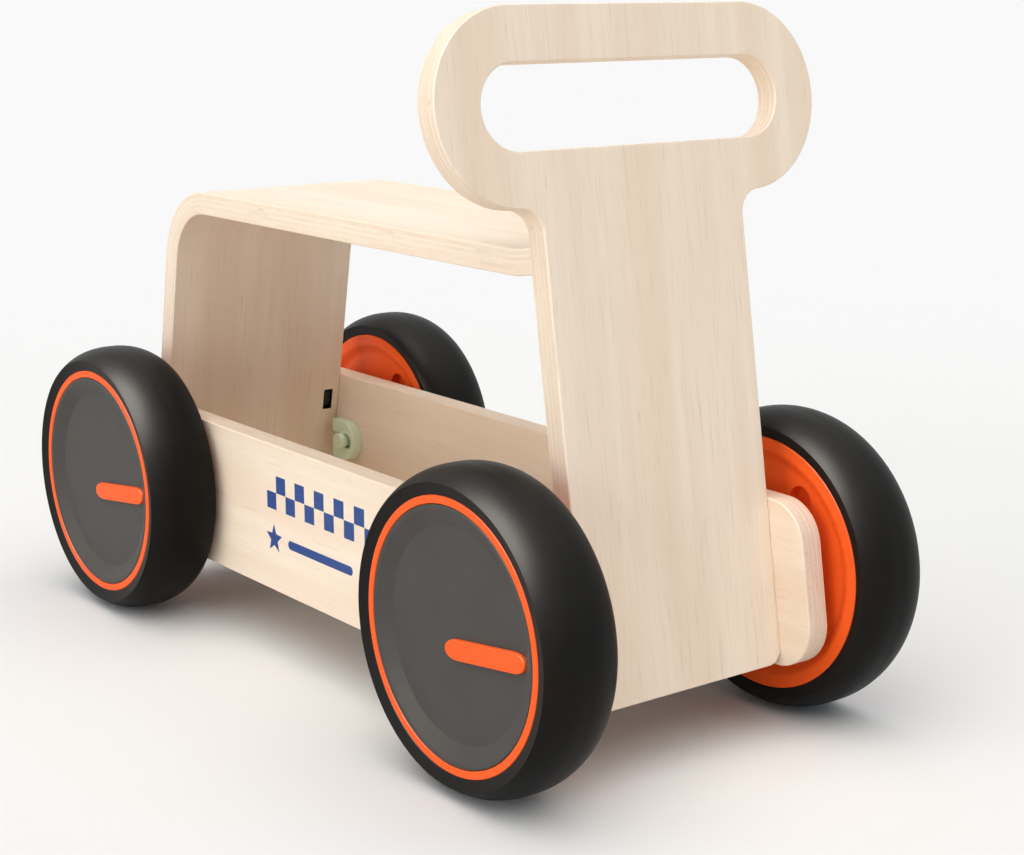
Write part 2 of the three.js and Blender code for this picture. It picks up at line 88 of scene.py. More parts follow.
class Side(Opposite):
    """The two sides of the car, named as the rider sees them."""

    RIGHT = -1
    LEFT = 1


class Axle(Opposite):
    """The two axles, front at the handle end."""

    FRONT = -1
    REAR = 1


class Lay(Enum):
    """Where a wood finish takes its grain from."""

    SHEET = "the piece's own sheet attribute"
    OBJECT = "Object coordinates, grain along Y"


def linear(colour: Colour) -> tuple[float, float, float, float]:
    """Turns an sRGB colour in 0-255 into linear RGBA, with the standard's own numbers.

    Args:
        colour: Red, green and blue as a picture program shows them.

    Returns:
        Linear red, green, blue and an alpha of 1.
    """
    share = np.array(colour) / 255
    low, high = share / 12.92, ((share + 0.055) / 1.055) ** 2.4
    red, green, blue = np.where(share <= 0.04045, low, high).tolist()
    return red, green, blue, 1.0


def operator(operation: str, swapped: bool = False) -> Callable[[Wire, Scalar], Wire]:
    """Makes an operator of Wire.

    Args:
        operation: The Math node's operation.
        swapped: Whether the other value comes first.

    Returns:
        A method that adds one Math node.
    """

    def method(self: Wire, other: Scalar) -> Wire:
        """Both values through one Math node."""
        pair = (other, self) if swapped else (self, other)
        return self.shader.math(operation, *pair)

    return method


class Wire:
    """An output socket whose operators add Math nodes to its shader.

    A remainder is never negative, and a comparison gives 1 or 0.
    """

    __add__ = __radd__ = operator("ADD")
    __sub__ = operator("SUBTRACT")
    __rsub__ = operator("SUBTRACT", swapped=True)
    __mul__ = __rmul__ = operator("MULTIPLY")
    __truediv__ = operator("DIVIDE")
    __mod__ = operator("FLOORED_MODULO")
    __gt__ = operator("GREATER_THAN")
    __lt__ = operator("LESS_THAN")

    def __init__(self, shader: Shader, socket: bpy.types.NodeSocket) -> None:
        """Keeps the socket and the shader that it belongs to."""
        self.shader = shader
        self.socket = socket

    def math(self, operation: str, *others: Scalar) -> Wire:
        """This value and the others through one Math node."""
        return self.shader.math(operation, self, *others)

    def __abs__(self) -> Wire:
        """The value without its sign."""
        return self.math("ABSOLUTE")

    def __floor__(self) -> Wire:
        """The whole number below."""
        return self.math("FLOOR")

    def ramp(self, low: float, high: float) -> Wire:
        """0 below low, 1 above high, and a smooth step between."""
        settings = {"interpolation_type": "SMOOTHSTEP"}
        return self.shader.node("ShaderNodeMapRange", settings, {0: self, 1: low, 2: high})


class Shader:
    """A node tree under construction, a material's or the world's."""

    # Sockets of the Mix node when it mixes colours.
    MIX_LOW, MIX_HIGH, MIX_RESULT = 6, 7, 2

    def __init__(self, owner: Material | bpy.types.World) -> None:
        """Starts an empty node tree.

        Args:
            owner: The material or world that the tree belongs to.
        """
        owner.use_nodes = True
        self.owner = owner
        self.tree = owner.node_tree
        self.tree.nodes.clear()

    @classmethod
    def named(cls, name: str) -> Shader:
        """Starts a new material."""
        return cls(bpy.data.materials.new(name))

    def add(
        self,
        kind: str,
        settings: dict[str, Any] | None = None,
        inputs: dict[int | str, Any] | None = None,
    ) -> bpy.types.Node:
        """Adds one node of any kind.

        Args:
            kind: The node's type.
            settings: Properties of the node, set before its sockets.
            inputs: Sockets by index or name, each with a wire or a plain value.

        Returns:
            The node.
        """
        made = self.tree.nodes.new(kind)
        for key, value in (settings or {}).items():
            setattr(made, key, value)
        for key, value in (inputs or {}).items():
            if isinstance(value, Wire):
                self.tree.links.new(value.socket, made.inputs[key])
            else:
                made.inputs[key].default_value = value
        return made

    def node(
        self,
        kind: str,
        settings: dict[str, Any] | None = None,
        inputs: dict[int | str, Any] | None = None,
        output: int | str = 0,
    ) -> Wire:
        """Adds one node and hands on one of its outputs as a wire."""
        return Wire(self, self.add(kind, settings, inputs).outputs[output])

    def math(self, operation: str, *values: Scalar) -> Wire:
        """One Math node on wires and numbers."""
        return self.node("ShaderNodeMath", {"operation": operation}, dict(enumerate(values)))

    def place(self) -> tuple[Wire, Wire, Wire]:
        """X, Y and Z of the Object coordinates."""
        return self.split(self.node("ShaderNodeTexCoord", output="Object"))

    def sheet(self) -> tuple[Wire, Wire, Wire]:
        """Across the grain, along it, and depth, from the sheet attribute."""
        settings = {"attribute_name": SHEET_ATTRIBUTE}
        return self.split(self.node("ShaderNodeAttribute", settings, output="Vector"))

    def split(self, vector: Wire) -> tuple[Wire, Wire, Wire]:
        """The three parts of a vector."""
        parts = self.add("ShaderNodeSeparateXYZ", inputs={0: vector})
        return tuple(Wire(self, socket) for socket in parts.outputs)

    def join(self, x: Scalar, y: Scalar, z: Scalar) -> Wire:
        """A vector from three values."""
        return self.node("ShaderNodeCombineXYZ", inputs={0: x, 1: y, 2: z})

    def noise(self, vector: Wire, scale: float, detail: float) -> Wire:
        """Perlin noise, about 0 to 1, on a vector."""
        inputs = {"Vector": vector, "Scale": scale, "Detail": detail}
        return self.node("ShaderNodeTexNoise", inputs=inputs)

    def blend(self, share: Wire, low: Wire | Colour, high: Wire | Colour) -> Wire:
        """Mixes two colours.

        Args:
            share: 0 for the low colour and 1 for the high one.
            low: A wire, or an sRGB colour.
            high: A wire, or an sRGB colour.

        Returns:
            The mixed colour.
        """
        pair = [c if isinstance(c, Wire) else linear(c) for c in (low, high)]
        inputs = {0: share, self.MIX_LOW: pair[0], self.MIX_HIGH: pair[1]}
        return self.node("ShaderNodeMix", {"data_type": "RGBA"}, inputs, self.MIX_RESULT)

    def close(
        self,
        colour: Wire,
        roughness: Wire,
        height: Wire,
        relief: float,
        constants: dict[str, float],
    ) -> Material:
        """Ends the tree with a bump, a Principled shader and the output.

        Args:
            colour: Base colour.
            roughness: Roughness.
            height: Height that the bump reads.
            relief: What a height of 1 stands for, in metres.
            constants: Other sockets of the shader, the same all over.

        Returns:
            The finished material.
        """
        dents = {"Strength": 1.0, "Distance": relief, "Height": height}
        bump = self.node("ShaderNodeBump", inputs=dents)
        sockets = {"Base Color": colour, "Roughness": roughness, "Normal": bump}
        surface = self.node("ShaderNodeBsdfPrincipled", inputs=sockets | constants)
        self.add("ShaderNodeOutputMaterial", inputs={"Surface": surface})
        return self.owner

    def sees_background(self) -> Wire:
        """Tells the rays that show the background from those that light the car.

        Returns:
            1 for rays from the camera, in gloss and through glass, else 0.
        """
        rays = ("Is Camera Ray", "Is Glossy Ray", "Is Transmission Ray")
        straight, gloss, glass = (self.node("ShaderNodeLightPath", output=ray) for ray in rays)
        return straight.math("MAXIMUM", gloss).math("MAXIMUM", glass)


@dataclass(frozen=True)
class BoardPrint:
    """The print on a side board's outer face: a checked band, two stars and a stripe."""

    colour: Colour = (2, 60, 128)
    cell: float = 0.010
    columns: int = 11
    band_foot: float = 0.0843
    star_reach: float = 0.0482
    star_level: float = 0.067
    star_radius: float = 0.0088
    star_waist: float = 0.43
    stripe_reach: float = 0.0305
    stripe_half: float = 0.0026
    face: float = 0.0759

    def mask(self, shader: Shader) -> Wire:
        """1 on printed places of the outer faces, else 0.

        Args:
            shader: The material that the print goes into.

        Returns:
            The mask, from Object coordinates.
        """
        x, y, z = shader.place()
        marks = self.checks(y, z).math("MAXIMUM", self.star(shader, y, z))
        marks = marks.math("MAXIMUM", self.stripe(y, z))
        return marks * (abs(x) > self.face)

    def checks(self, y: Wire, z: Wire) -> Wire:
        """Two rows of square cells, each second one filled, the lower corners too.

        Args:
            y: Place along the board.
            z: Level.

        Returns:
            1 in the filled cells, else 0.
        """
        half = self.cell * self.columns / 2
        column = math.floor((y + half) / self.cell)
        row = math.floor((z - self.band_foot) / self.cell)
        filled = (column + row) % 2 < 0.5
        inside = (abs(y) < half) * (abs(z - (self.band_foot + self.cell)) < self.cell)
        return filled * inside

    def star(self, shader: Shader, y: Wire, z: Wire) -> Wire:
        """Five-pointed stars, mirrored about the middle.

        The angle from the upper point is folded into one tenth of a turn, and
        what lies on the inner side of the line from a point to a waist is filled.

        Args:
            shader: The material that the print goes into.
            y: Place along the board.
            z: Level.

        Returns:
            1 in the stars, else 0.
        """
        across, up = abs(y) - self.star_reach, z - self.star_level
        tenth = math.pi / 5
        angle = shader.math("PINGPONG", shader.math("ARCTAN2", across, up), tenth)
        radius = (across * across + up * up).math("SQRT")
        a, b = radius * angle.math("COSINE"), radius * angle.math("SINE")
        waist = self.star_radius * self.star_waist
        waist_a, waist_b = waist * math.cos(tenth), waist * math.sin(tenth)
        return (waist_a - self.star_radius) * b - waist_b * (a - self.star_radius) > 0.0

    def stripe(self, y: Wire, z: Wire) -> Wire:
        """A stripe with round ends between the stars.

        Args:
            y: Place along the board.
            z: Level.

        Returns:
            1 in the stripe, else 0.
        """
        past = (abs(y) - self.stripe_reach).math("MAXIMUM", 0.0)
        up = z - self.star_level
        return past * past + up * up < self.stripe_half**2


@dataclass(frozen=True)
class Streaks:
    """Noise drawn out along the grain, and how strongly it tints the wood.

    It has so many waves in a metre across and along the grain, and shifts by a
    step from ply to ply. The ramp picks the streaks that show, and the share is
    how strongly they do.
    """

    across: float
    along: float
    step: float
    detail: float
    ramp: Pair
    share: float = 1.0
    start: float = 0.0

    def noise(self, shader: Shader, side: Wire, run: Wire, ply: Wire) -> Wire:
        """The noise at a place across the grain, along it and in a ply."""
        place = shader.join(side * self.across, run * self.along, ply * self.step + self.start)
        return shader.noise(place, 1.0, self.detail)


@dataclass(frozen=True)
class Birch:
    """Lacquered birch plywood: straight grain, pores, and plies with glue lines."""

    name: str = "birch_plywood"
    lay: Lay = Lay.SHEET
    pale: Colour = (241, 223, 202)
    dark: Colour = (234, 213, 190)
    rosy: Colour = (233, 210, 186)
    pore: Colour = (203, 178, 152)
    cross_ply: Colour = (216, 186, 156)
    glue: Colour = (190, 156, 124)
    broad: Streaks = Streaks(75.0, 3.2, 7.3, 3.0, (0.3, 0.7))
    blush: Streaks = Streaks(38.0, 4.0, 2.9, 1.0, (0.45, 0.7), 0.8, 4.0)
    fine: Streaks = Streaks(620.0, 11.0, 3.1, 3.0, (0.48, 0.75), 0.3)
    lines: Streaks = Streaks(1000.0, 24.0, 8.3, 1.0, (0.6, 0.72), 0.42)
    pores: Streaks = Streaks(1500.0, 60.0, 5.7, 1.0, (0.62, 0.74), 0.35)
    pore_rows: Pair = (0.4, 0.6)
    thickness: float = 0.013
    plies: int = 9
    skin: float = 0.0001
    cross_share: float = 0.22
    glue_share: float = 0.42
    glue_line: Pair = (0.02, 0.14)
    roughness: float = 0.46
    broad_roughness: float = 0.12
    pore_roughness: float = 0.08
    ink_gloss: float = 0.06
    ink_wear: float = 0.05
    relief: float = 0.00006
    specular: float = 0.18
    mark: BoardPrint | None = None

    def material(self) -> Material:
        """Builds the finish.

        Grain is noise stretched along the ply's grain, which turns by a right
        angle from ply to ply; the depth in the sheet picks the ply.

        Returns:
            The material.
        """
        shader = Shader.named(self.name)
        if self.lay is Lay.SHEET:
            across, along, depth = shader.sheet()
        else:
            across, along, _ = shader.place()
            depth = shader.math("ADD", self.thickness / self.plies / 2, 0.0)
        depth = depth.math("MAXIMUM", self.skin).math("MINIMUM", self.thickness - self.skin)
        level = depth * (self.plies / self.thickness)
        ply = math.floor(level)
        crossed = ply % 2
        run = along + crossed * (across - along)
        side = across + crossed * (along - across)
        broad, blush, fine, lines, pores = (
            streaks.noise(shader, side, run, ply)
            for streaks in (self.broad, self.blush, self.fine, self.lines, self.pores)
        )
        pores = pores.ramp(*self.pores.ramp)
        seam = 0.5 - abs(level - ply - 0.5)
        inner = (level > 0.5) * (level < self.plies - 0.5)
        glued = (1 - seam.ramp(*self.glue_line)) * inner
        colour = shader.blend(broad.ramp(*self.broad.ramp), self.dark, self.pale)
        for share, tint in (
            (blush.ramp(*self.blush.ramp) * self.blush.share, self.rosy),
            (fine.ramp(*self.fine.ramp) * self.fine.share, self.dark),
            (lines.ramp(*self.lines.ramp) * broad * self.lines.share, self.pore),
            (pores * fine.ramp(*self.pore_rows) * self.pores.share, self.pore),
            (crossed * self.cross_share, self.cross_ply),
            (glued * self.glue_share, self.glue),
        ):
            colour = shader.blend(share, colour, tint)
        rough = self.roughness + self.broad_roughness * broad + self.pore_roughness * pores
        if self.mark:
            ink = self.mark.mask(shader)
            colour = shader.blend(ink * (1 - self.ink_wear * fine), colour, self.mark.colour)
            rough = rough - self.ink_gloss * ink
        height = 0.5 * fine - 0.5 * pores
        constants = {"Specular IOR Level": self.specular}
        return shader.close(colour, rough, height, self.relief, constants)


@dataclass(frozen=True)
class Moulded:
    """A moulded plastic or rubber: fine texture, slight clouding and soft gloss."""

    name: str
    colour: Colour
    cloud: Colour
    roughness: float
    relief: float = 0.00003
    grit: float = 2600.0
    grit_share: float = 0.25
    clouds: float = 45.0
    cloud_ramp: Pair = (0.3, 0.72)
    cloud_share: float = 0.6
    swing: float = 0.06
    smoother: float = 0.05
    specular: float = 0.5

    def material(self) -> Material:
        """Builds the finish from two sizes of noise on Object coordinates.

        Returns:
            The material.
        """
        shader = Shader.named(self.name)
        place = shader.join(*shader.place())
        clouds = shader.noise(place, self.clouds, CLOUD_DETAIL)
        grit = shader.noise(place, self.grit, FINE_DETAIL)
        share = clouds.ramp(*self.cloud_ramp) * self.cloud_share + grit * self.grit_share
        colour = shader.blend(share, self.colour, self.cloud)
        rough = self.roughness - self.smoother + self.swing * clouds + self.swing * grit
        constants = {"Specular IOR Level": self.specular}
        return shader.close(colour, rough, grit, self.relief, constants)


@dataclass(frozen=True)
class Plated:
    """Plated or blackened steel with faint turning marks."""

    name: str
    colour: Colour
    cloud: Colour
    roughness: float
    metallic: float
    clouds: float = 220.0
    cloud_ramp: Pair = (0.3, 0.7)
    line_count: float = 6000.0
    line_breaks: float = 300.0
    swing: float = 0.1
    relief: float = 0.00001

    def material(self) -> Material:
        """Builds the finish: clouded plating and fine lines across X.

        Returns:
            The material.
        """
        shader = Shader.named(self.name)
        x, y, z = shader.place()
        clouds = shader.noise(shader.join(x, y, z), self.clouds, CLOUD_DETAIL)
        place = shader.join(x * self.line_count, y * self.line_breaks, z * self.line_breaks)
        lines = shader.noise(place, 1.0, FINE_DETAIL)
        colour = shader.blend(clouds.ramp(*self.cloud_ramp), self.colour, self.cloud)
        rough = self.roughness + self.swing * lines
        return shader.close(colour, rough, lines, self.relief, {"Metallic": self.metallic})


def built(finish: Birch | Moulded | Plated) -> Any:
    """A field whose material is built when the finishes are made."""
    return field(default_factory=finish.material)


@dataclass(frozen=True)
class Finishes:
    """The car's finishes, built once and shared by its pieces."""

    birch: Material = built(Birch())
    printed: Material = built(Birch("printed_birch_plywood", mark=BoardPrint()))
    seat_birch: Material = built(Birch("bent_birch_plywood", cross_share=0.12, glue_share=0.14))
    flat_birch: Material = built(Birch("floor_birch_plywood", Lay.OBJECT))
    beech: Material = built(
        Birch("beech", Lay.OBJECT, (214, 180, 136), (196, 160, 118), (205, 168, 130))
    )
    rubber: Material = built(
        Moulded(
            "black_rubber",
            (17, 16, 15),
            (21, 20, 18),
            0.42,
            relief=0.000008,
            grit=3200.0,
            specular=0.08,
        )
    )
    orange: Material = built(
        Moulded("orange_plastic", (243, 94, 30), (239, 89, 26), 0.4, specular=0.12)
    )
    grey: Material = built(
        Moulded("grey_plastic", (70, 67, 64), (75, 72, 69), 0.42, specular=0.08)
    )
    sage: Material = built(
        Moulded("sage_plastic", (222, 240, 212), (215, 233, 205), 0.45, specular=0.3)
    )
    zinc: Material = built(Plated("zinc", (186, 187, 188), (170, 172, 174), 0.3, 1.0))
    black: Material = built(Plated("black_steel", (40, 39, 37), (30, 30, 29), 0.42, 0.3))


def arc(a: float, b: float, radius: float, start: float, end: float) -> Array:
    """Points of a circle's arc with the normals that point out of the material.

    A point is the centre plus the radius times (cosine, sine) of an angle that
    runs evenly from start to end. Run anticlockwise, the arc bulges out and its
    normals follow the rays; run clockwise, it is hollow and they are reversed.

    Args:
        a: Centre, first coordinate.
        b: Centre, second coordinate.
        radius: Radius.
        start: First angle in radians.
        end: Last angle in radians.

    Returns:
        Rows of (a, b, normal a, normal b).
    """
    steps = max(ARC_LEAST_STEPS, math.ceil(abs(end - start) / ARC_STEP))
    angle = np.linspace(start, end, steps + 1)
    rays = np.stack([np.cos(angle), np.sin(angle)], axis=1)
    return np.hstack([np.array([a, b]) + radius * rays, rays * math.copysign(1, end - start)])


def rounded(corners: Sequence[Triple], closed: bool = True) -> Array:
    """A line through corners, each rounded by its own radius.

    Each corner becomes an arc that touches both its sides, whose normal turns
    from the first side's right-hand normal to the second's.

    Args:
        corners: Rows of (a, b, radius), with the material on the left.
        closed: Whether the line runs back to its start; the ends of an open
            line stay as they are, and their radii aren't used.

    Returns:
        Rows of (a, b, normal a, normal b).
    """

    def way(first: Array, second: Array) -> Array:
        """The unit direction from one point to another."""
        return (second - first) / np.linalg.norm(second - first)

    points = np.array([corner[:2] for corner in corners])
    pieces: list[Array] = []
    last = len(corners) - 1
    for index, (_, _, radius) in enumerate(corners):
        before, here, after = (points[k % len(points)] for k in (index - 1, index, index + 1))
        if not closed and index in (0, last):
            run = way(before, here) if index else way(here, after)
            pieces.append(np.array([[*here, run[1], -run[0]]]))
            continue
        come, go = way(before, here), way(here, after)
        turn = math.atan2(come[0] * go[1] - come[1] * go[0], float(come @ go))
        bulge = math.copysign(1, turn)
        normal = np.array([come[1], -come[0]])
        touch = here - come * radius * math.tan(abs(turn) / 2)
        centre = touch - bulge * radius * normal
        start = math.atan2(bulge * normal[1], bulge * normal[0])
        pieces.append(arc(*centre, radius, start, start + turn))
    return np.vstack(pieces)


@dataclass(frozen=True)
class Plane:
    """A flat frame: an origin and two unit directions, with the normal after them."""

    origin: Triple
    first: Triple
    second: Triple

    def turn(self, a: Array, b: Array, t: Array) -> Array:
        """Directions of the frame as directions of the car.

        Args:
            a: Parts along the first direction.
            b: Parts along the second direction.
            t: Parts along the normal.

        Returns:
            Vectors, in the arrays' shape with three parts each.
        """
        first, second = np.array(self.first), np.array(self.second)
        normal = np.cross(first, second)
        return a[..., None] * first + b[..., None] * second + t[..., None] * normal

    def place(self, a: Array, b: Array, t: Array) -> Array:
        """Points of the frame as points of the car."""
        return np.array(self.origin) + self.turn(a, b, t)


class Shell:
    """A closed surface gathered from grids and flat faces that share vertices."""

    def __init__(self) -> None:
        """Starts with no vertices."""
        self.points: list[Array] = []
        self.normals: list[Array] = []
        self.sheets: list[Array] = []
        self.faces: list[tuple[int, ...]] = []
        self.count = 0

    def grid(self, points: Array, normals: Array, sheet: Array | None = None) -> Array:
        """Adds rings of points, each closed on itself, joined ring to ring.

        Args:
            points: Places, as (rings, points of a ring, 3).
            normals: Normals of the same shape.
            sheet: Grain coordinates of the same shape.

        Returns:
            The vertices' numbers, as (rings, points of a ring).
        """
        rings, around = points.shape[:2]
        index = np.arange(rings * around).reshape(rings, around) + self.count
        self.points.append(points.reshape(-1, 3))
        self.normals.append(normals.reshape(-1, 3))
        self.sheets.append((np.zeros_like(points) if sheet is None else sheet).reshape(-1, 3))
        self.count += rings * around
        for first, second in zip(index[:-1], index[1:]):
            self.band(first, second)
        return index

    def band(self, first: Array, second: Array) -> None:
        """Adds the faces between two rings of vertices."""
        quads = np.stack([first, np.roll(first, -1), np.roll(second, -1), second], axis=1)
        self.faces.extend(map(tuple, quads.tolist()))

    def fill(self, *loops: Array) -> None:
        """Closes a flat face.

        Args:
            loops: Numbers of the vertices of its outline, then of its holes.
        """
        places = np.vstack(self.points)
        numbers = np.concatenate(loops).tolist()
        outlines = [[Vector(point) for point in places[loop].tolist()] for loop in loops]
        corners = tessellate_polygon(outlines)
        self.faces.extend(tuple(numbers[k] for k in corner) for corner in corners)

    def cap(self, index: Array) -> None:
        """Closes a grid's first and last ring."""
        self.fill(index[0])
        self.fill(index[-1])

    def drop(self, centre: Array, half: Array) -> None:
        """Takes out the faces whose middle lies inside a box.

        Args:
            centre: The box's middle.
            half: Half its size on each axis.
        """
        places = np.vstack(self.points)
        middles = np.array([places[list(face)].mean(axis=0) for face in self.faces])
        kept = np.any(np.abs(middles - centre) > half, axis=1)
        self.faces = [face for face, keep in zip(self.faces, kept.tolist()) if keep]

    def build(self, name: str, material: Material) -> bpy.types.Object:
        """Puts the surface into a mesh object at the origin.

        Args:
            name: The object's name.
            material: Its finish.

        Returns:
            The object, linked to the scene.
        """
        mesh = bpy.data.meshes.new(name)
        mesh.from_pydata(np.vstack(self.points), [], self.faces)
        work = bmesh.new()
        work.from_mesh(mesh)
        bmesh.ops.recalc_face_normals(work, faces=work.faces)
        work.to_mesh(mesh)
        work.free()
        sheet = mesh.attributes.new(SHEET_ATTRIBUTE, "FLOAT_VECTOR", "POINT")
        sheet.data.foreach_set("vector", np.vstack(self.sheets).astype(np.float32).ravel())
        mesh.shade_smooth()
        mesh.normals_split_custom_set_from_vertices(np.vstack(self.normals))
        mesh.materials.append(material)
        made = bpy.data.objects.new(name, mesh)
        bpy.context.scene.collection.objects.link(made)
        return made


def edge_profile(thickness: float, edge: float, steps: int = 4) -> tuple[Array, ...]:
    """A plate's edge from its lower face to its upper one.

    A quarter circle of the edge radius, the straight wall, and a quarter
    circle: at angle f the inset is edge * (1 - sin f), the depth is
    edge * (1 - cos f), and the normal is (sin f out, cos f down).

    Args:
        thickness: The plate's thickness.
        edge: Radius of the rounding.
        steps: Steps of each quarter circle.

    Returns:
        Inset, depth, outward part and upward part of the normal, ring by ring.
    """
    turn = np.linspace(0, math.pi / 2, steps + 1)
    inset, depth = edge * (1 - np.sin(turn)), edge * (1 - np.cos(turn))
    out, up = np.sin(turn), -np.cos(turn)
    return (
        np.concatenate([inset, inset[::-1]]),
        np.concatenate([depth, thickness - depth[::-1]]),
        np.concatenate([out, out[::-1]]),
        np.concatenate([up, -up[::-1]]),
    )


class Grain(Enum):
    """Which way a flat sheet's grain runs in its plane."""

    FIRST = "along the plane's first direction"
    SECOND = "along the plane's second direction"


@dataclass(frozen=True)
class Pocket:
    """A blind rectangular pocket in a plate's lower face."""

    a: float
    b: float
    half_a: float
    half_b: float
    depth: float

    def corners(self) -> tuple[Array, Array]:
        """The mouth's corners from its middle, along both directions."""
        return self.half_a * np.array([-1, 1, 1, -1.0]), self.half_b * np.array([-1, -1, 1, 1.0])


@dataclass(frozen=True)
class Plate:
    """A flat sheet with rounded edges, holes and pockets."""

    plane: Plane
    thickness: float
    outline: Array
    edge: float
    holes: tuple[Array, ...] = ()
    hole_edge: float = 0.0005
    pockets: tuple[Pocket, ...] = ()
    grain: Grain = Grain.FIRST
    seed: float = 0.0

    def walls(self, shell: Shell, line: Array, edge: float) -> tuple[Array, Array]:
        """Carries the edge profile along a line of the plate.

        Each point moves in along its normal by the profile's inset and up by
        its depth.

        Args:
            shell: The surface to add to.
            line: Rows of (a, b, normal a, normal b).
            edge: Radius of the rounding.

        Returns:
            The vertices' numbers of the lower and of the upper ring.
        """
        inset, depth, out, up = edge_profile(self.thickness, edge)
        a = line[None, :, 0] - inset[:, None] * line[None, :, 2]
        b = line[None, :, 1] - inset[:, None] * line[None, :, 3]
        t = np.broadcast_to(depth[:, None], a.shape)
        out_a, out_b = (out[:, None] * line[None, :, k] for k in (2, 3))
        normals = self.plane.turn(out_a, out_b, np.broadcast_to(up[:, None], a.shape))
        index = shell.grid(self.plane.place(a, b, t), normals, self.sheet(a, b, t))
        return index[0], index[-1]

    def sheet(self, a: Array, b: Array, t: Array) -> Array:
        """Across the grain, along it, and depth."""
        pair = (b, a) if self.grain is Grain.FIRST else (a, b)
        return np.stack([pair[0] + self.seed, pair[1] + self.seed, t], axis=-1)

    def recess(self, shell: Shell, pocket: Pocket) -> Array:
        """Adds a pocket's four walls and its floor.

        Args:
            shell: The surface to add to.
            pocket: The pocket.

        Returns:
            The vertices' numbers of its mouth.
        """
        a, b = pocket.corners()
        a, b = np.tile(pocket.a + a, (2, 1)), np.tile(pocket.b + b, (2, 1))
        t = np.array([0.0, pocket.depth])[:, None] + 0 * a
        down = self.plane.turn(0 * a, 0 * a, 0 * a - 1)
        index = shell.grid(self.plane.place(a, b, t), down, self.sheet(a, b, t))
        shell.fill(index[1])
        return index[0]

    def build(self, name: str, material: Material) -> bpy.types.Object:
        """Makes the plate's mesh.

        Args:
            name: The object's name.
            material: Its finish.

        Returns:
            The object.
        """
        shell = Shell()
        lower, upper = self.walls(shell, self.outline, self.edge)
        inner = [self.walls(shell, hole, self.hole_edge) for hole in self.holes]
        mouths = [self.recess(shell, pocket) for pocket in self.pockets]
        shell.fill(lower, *[pair[0] for pair in inner], *mouths)
        shell.fill(upper, *[pair[1] for pair in inner])
        return shell.build(name, material)


@dataclass(frozen=True)
class CarSizes:
    """Sizes that several pieces share."""

    ply: float = 0.013
    half_width: float = 0.0632
    wheel_radius: float = 0.080
    half_base: float = 0.182
    seat_height: float = 0.254
    board_height: float = 0.086
    board_drop: float = 0.001
    panel_lean: float = math.radians(9.3)
    leg_lean: float = math.radians(10.3)
    panel_gap: float = 0.0023
    leg_gap: float = 0.0072
    clip_radius: float = 0.013
    clip_length: float = 0.012
    bolt_levels: Pair = (0.026, -0.023)
    nut_inset: float = 0.0055
    nut_thickness: float = 0.006
    nut_height: float = 0.013
    nut_depth: float = 0.009
    fit: float = 0.0003
    edge: float = 0.0007

    @property
    def board_out(self) -> float:
        """Distance from the middle to a side board's outer face."""
        return self.half_width + self.ply

    @property
    def board_top(self) -> float:
        """Level of the side boards' upper edge."""
        return self.wheel_radius - self.board_drop + self.board_height / 2

    @property
    def board_foot(self) -> float:
        """Level of the side boards' lower edge."""
        return self.board_top - self.board_height

    @property
    def panel_back(self) -> float:
        """Y of the panel's back face at axle level."""
        return -self.half_base - (self.clip_radius + self.panel_gap) / math.cos(self.panel_lean)

    @property
    def leg_front(self) -> float:
        """Y of the leg's inner face at axle level."""
        return self.half_base + (self.clip_length + self.leg_gap) / math.cos(self.leg_lean)

    def panel_plane(self) -> Plane:
        """The panel's back face: X, then up the slope; depth runs to the front."""
        up = (0.0, math.sin(self.panel_lean), math.cos(self.panel_lean))
        return Plane((0.0, self.panel_back, self.wheel_radius), (1.0, 0.0, 0.0), up)

    def nut_pockets(self) -> tuple[Pocket, ...]:
        """The four nut pockets of a sheet, in its own plane.

        Returns:
            The pockets, placed from the sheet's middle at axle level.
        """
        middle = self.half_width - self.nut_inset - self.nut_thickness / 2
        depth = (self.ply + self.nut_depth) / 2 + self.fit
        half = (self.nut_thickness / 2 + self.fit, self.nut_height / 2 + self.fit)
        return tuple(
            Pocket(side.value * middle, level, *half, depth)
            for side in Side
            for level in self.bolt_levels
        )


def put(piece: bpy.types.Object, body: str, slot: str, node: str) -> None:
    """Ties a piece to its body, hides the CAD node that it stands for, and logs it.

    Args:
        piece: The finished piece.
        body: The CAD body that it moves with.
        slot: The record's material slot; not used.
        node: The CAD node that it stands for.
    """
    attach(piece, body)
    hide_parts(node)
    LOG.info("%s: %d faces, rides on %s", piece.name, len(piece.data.polygons), body)


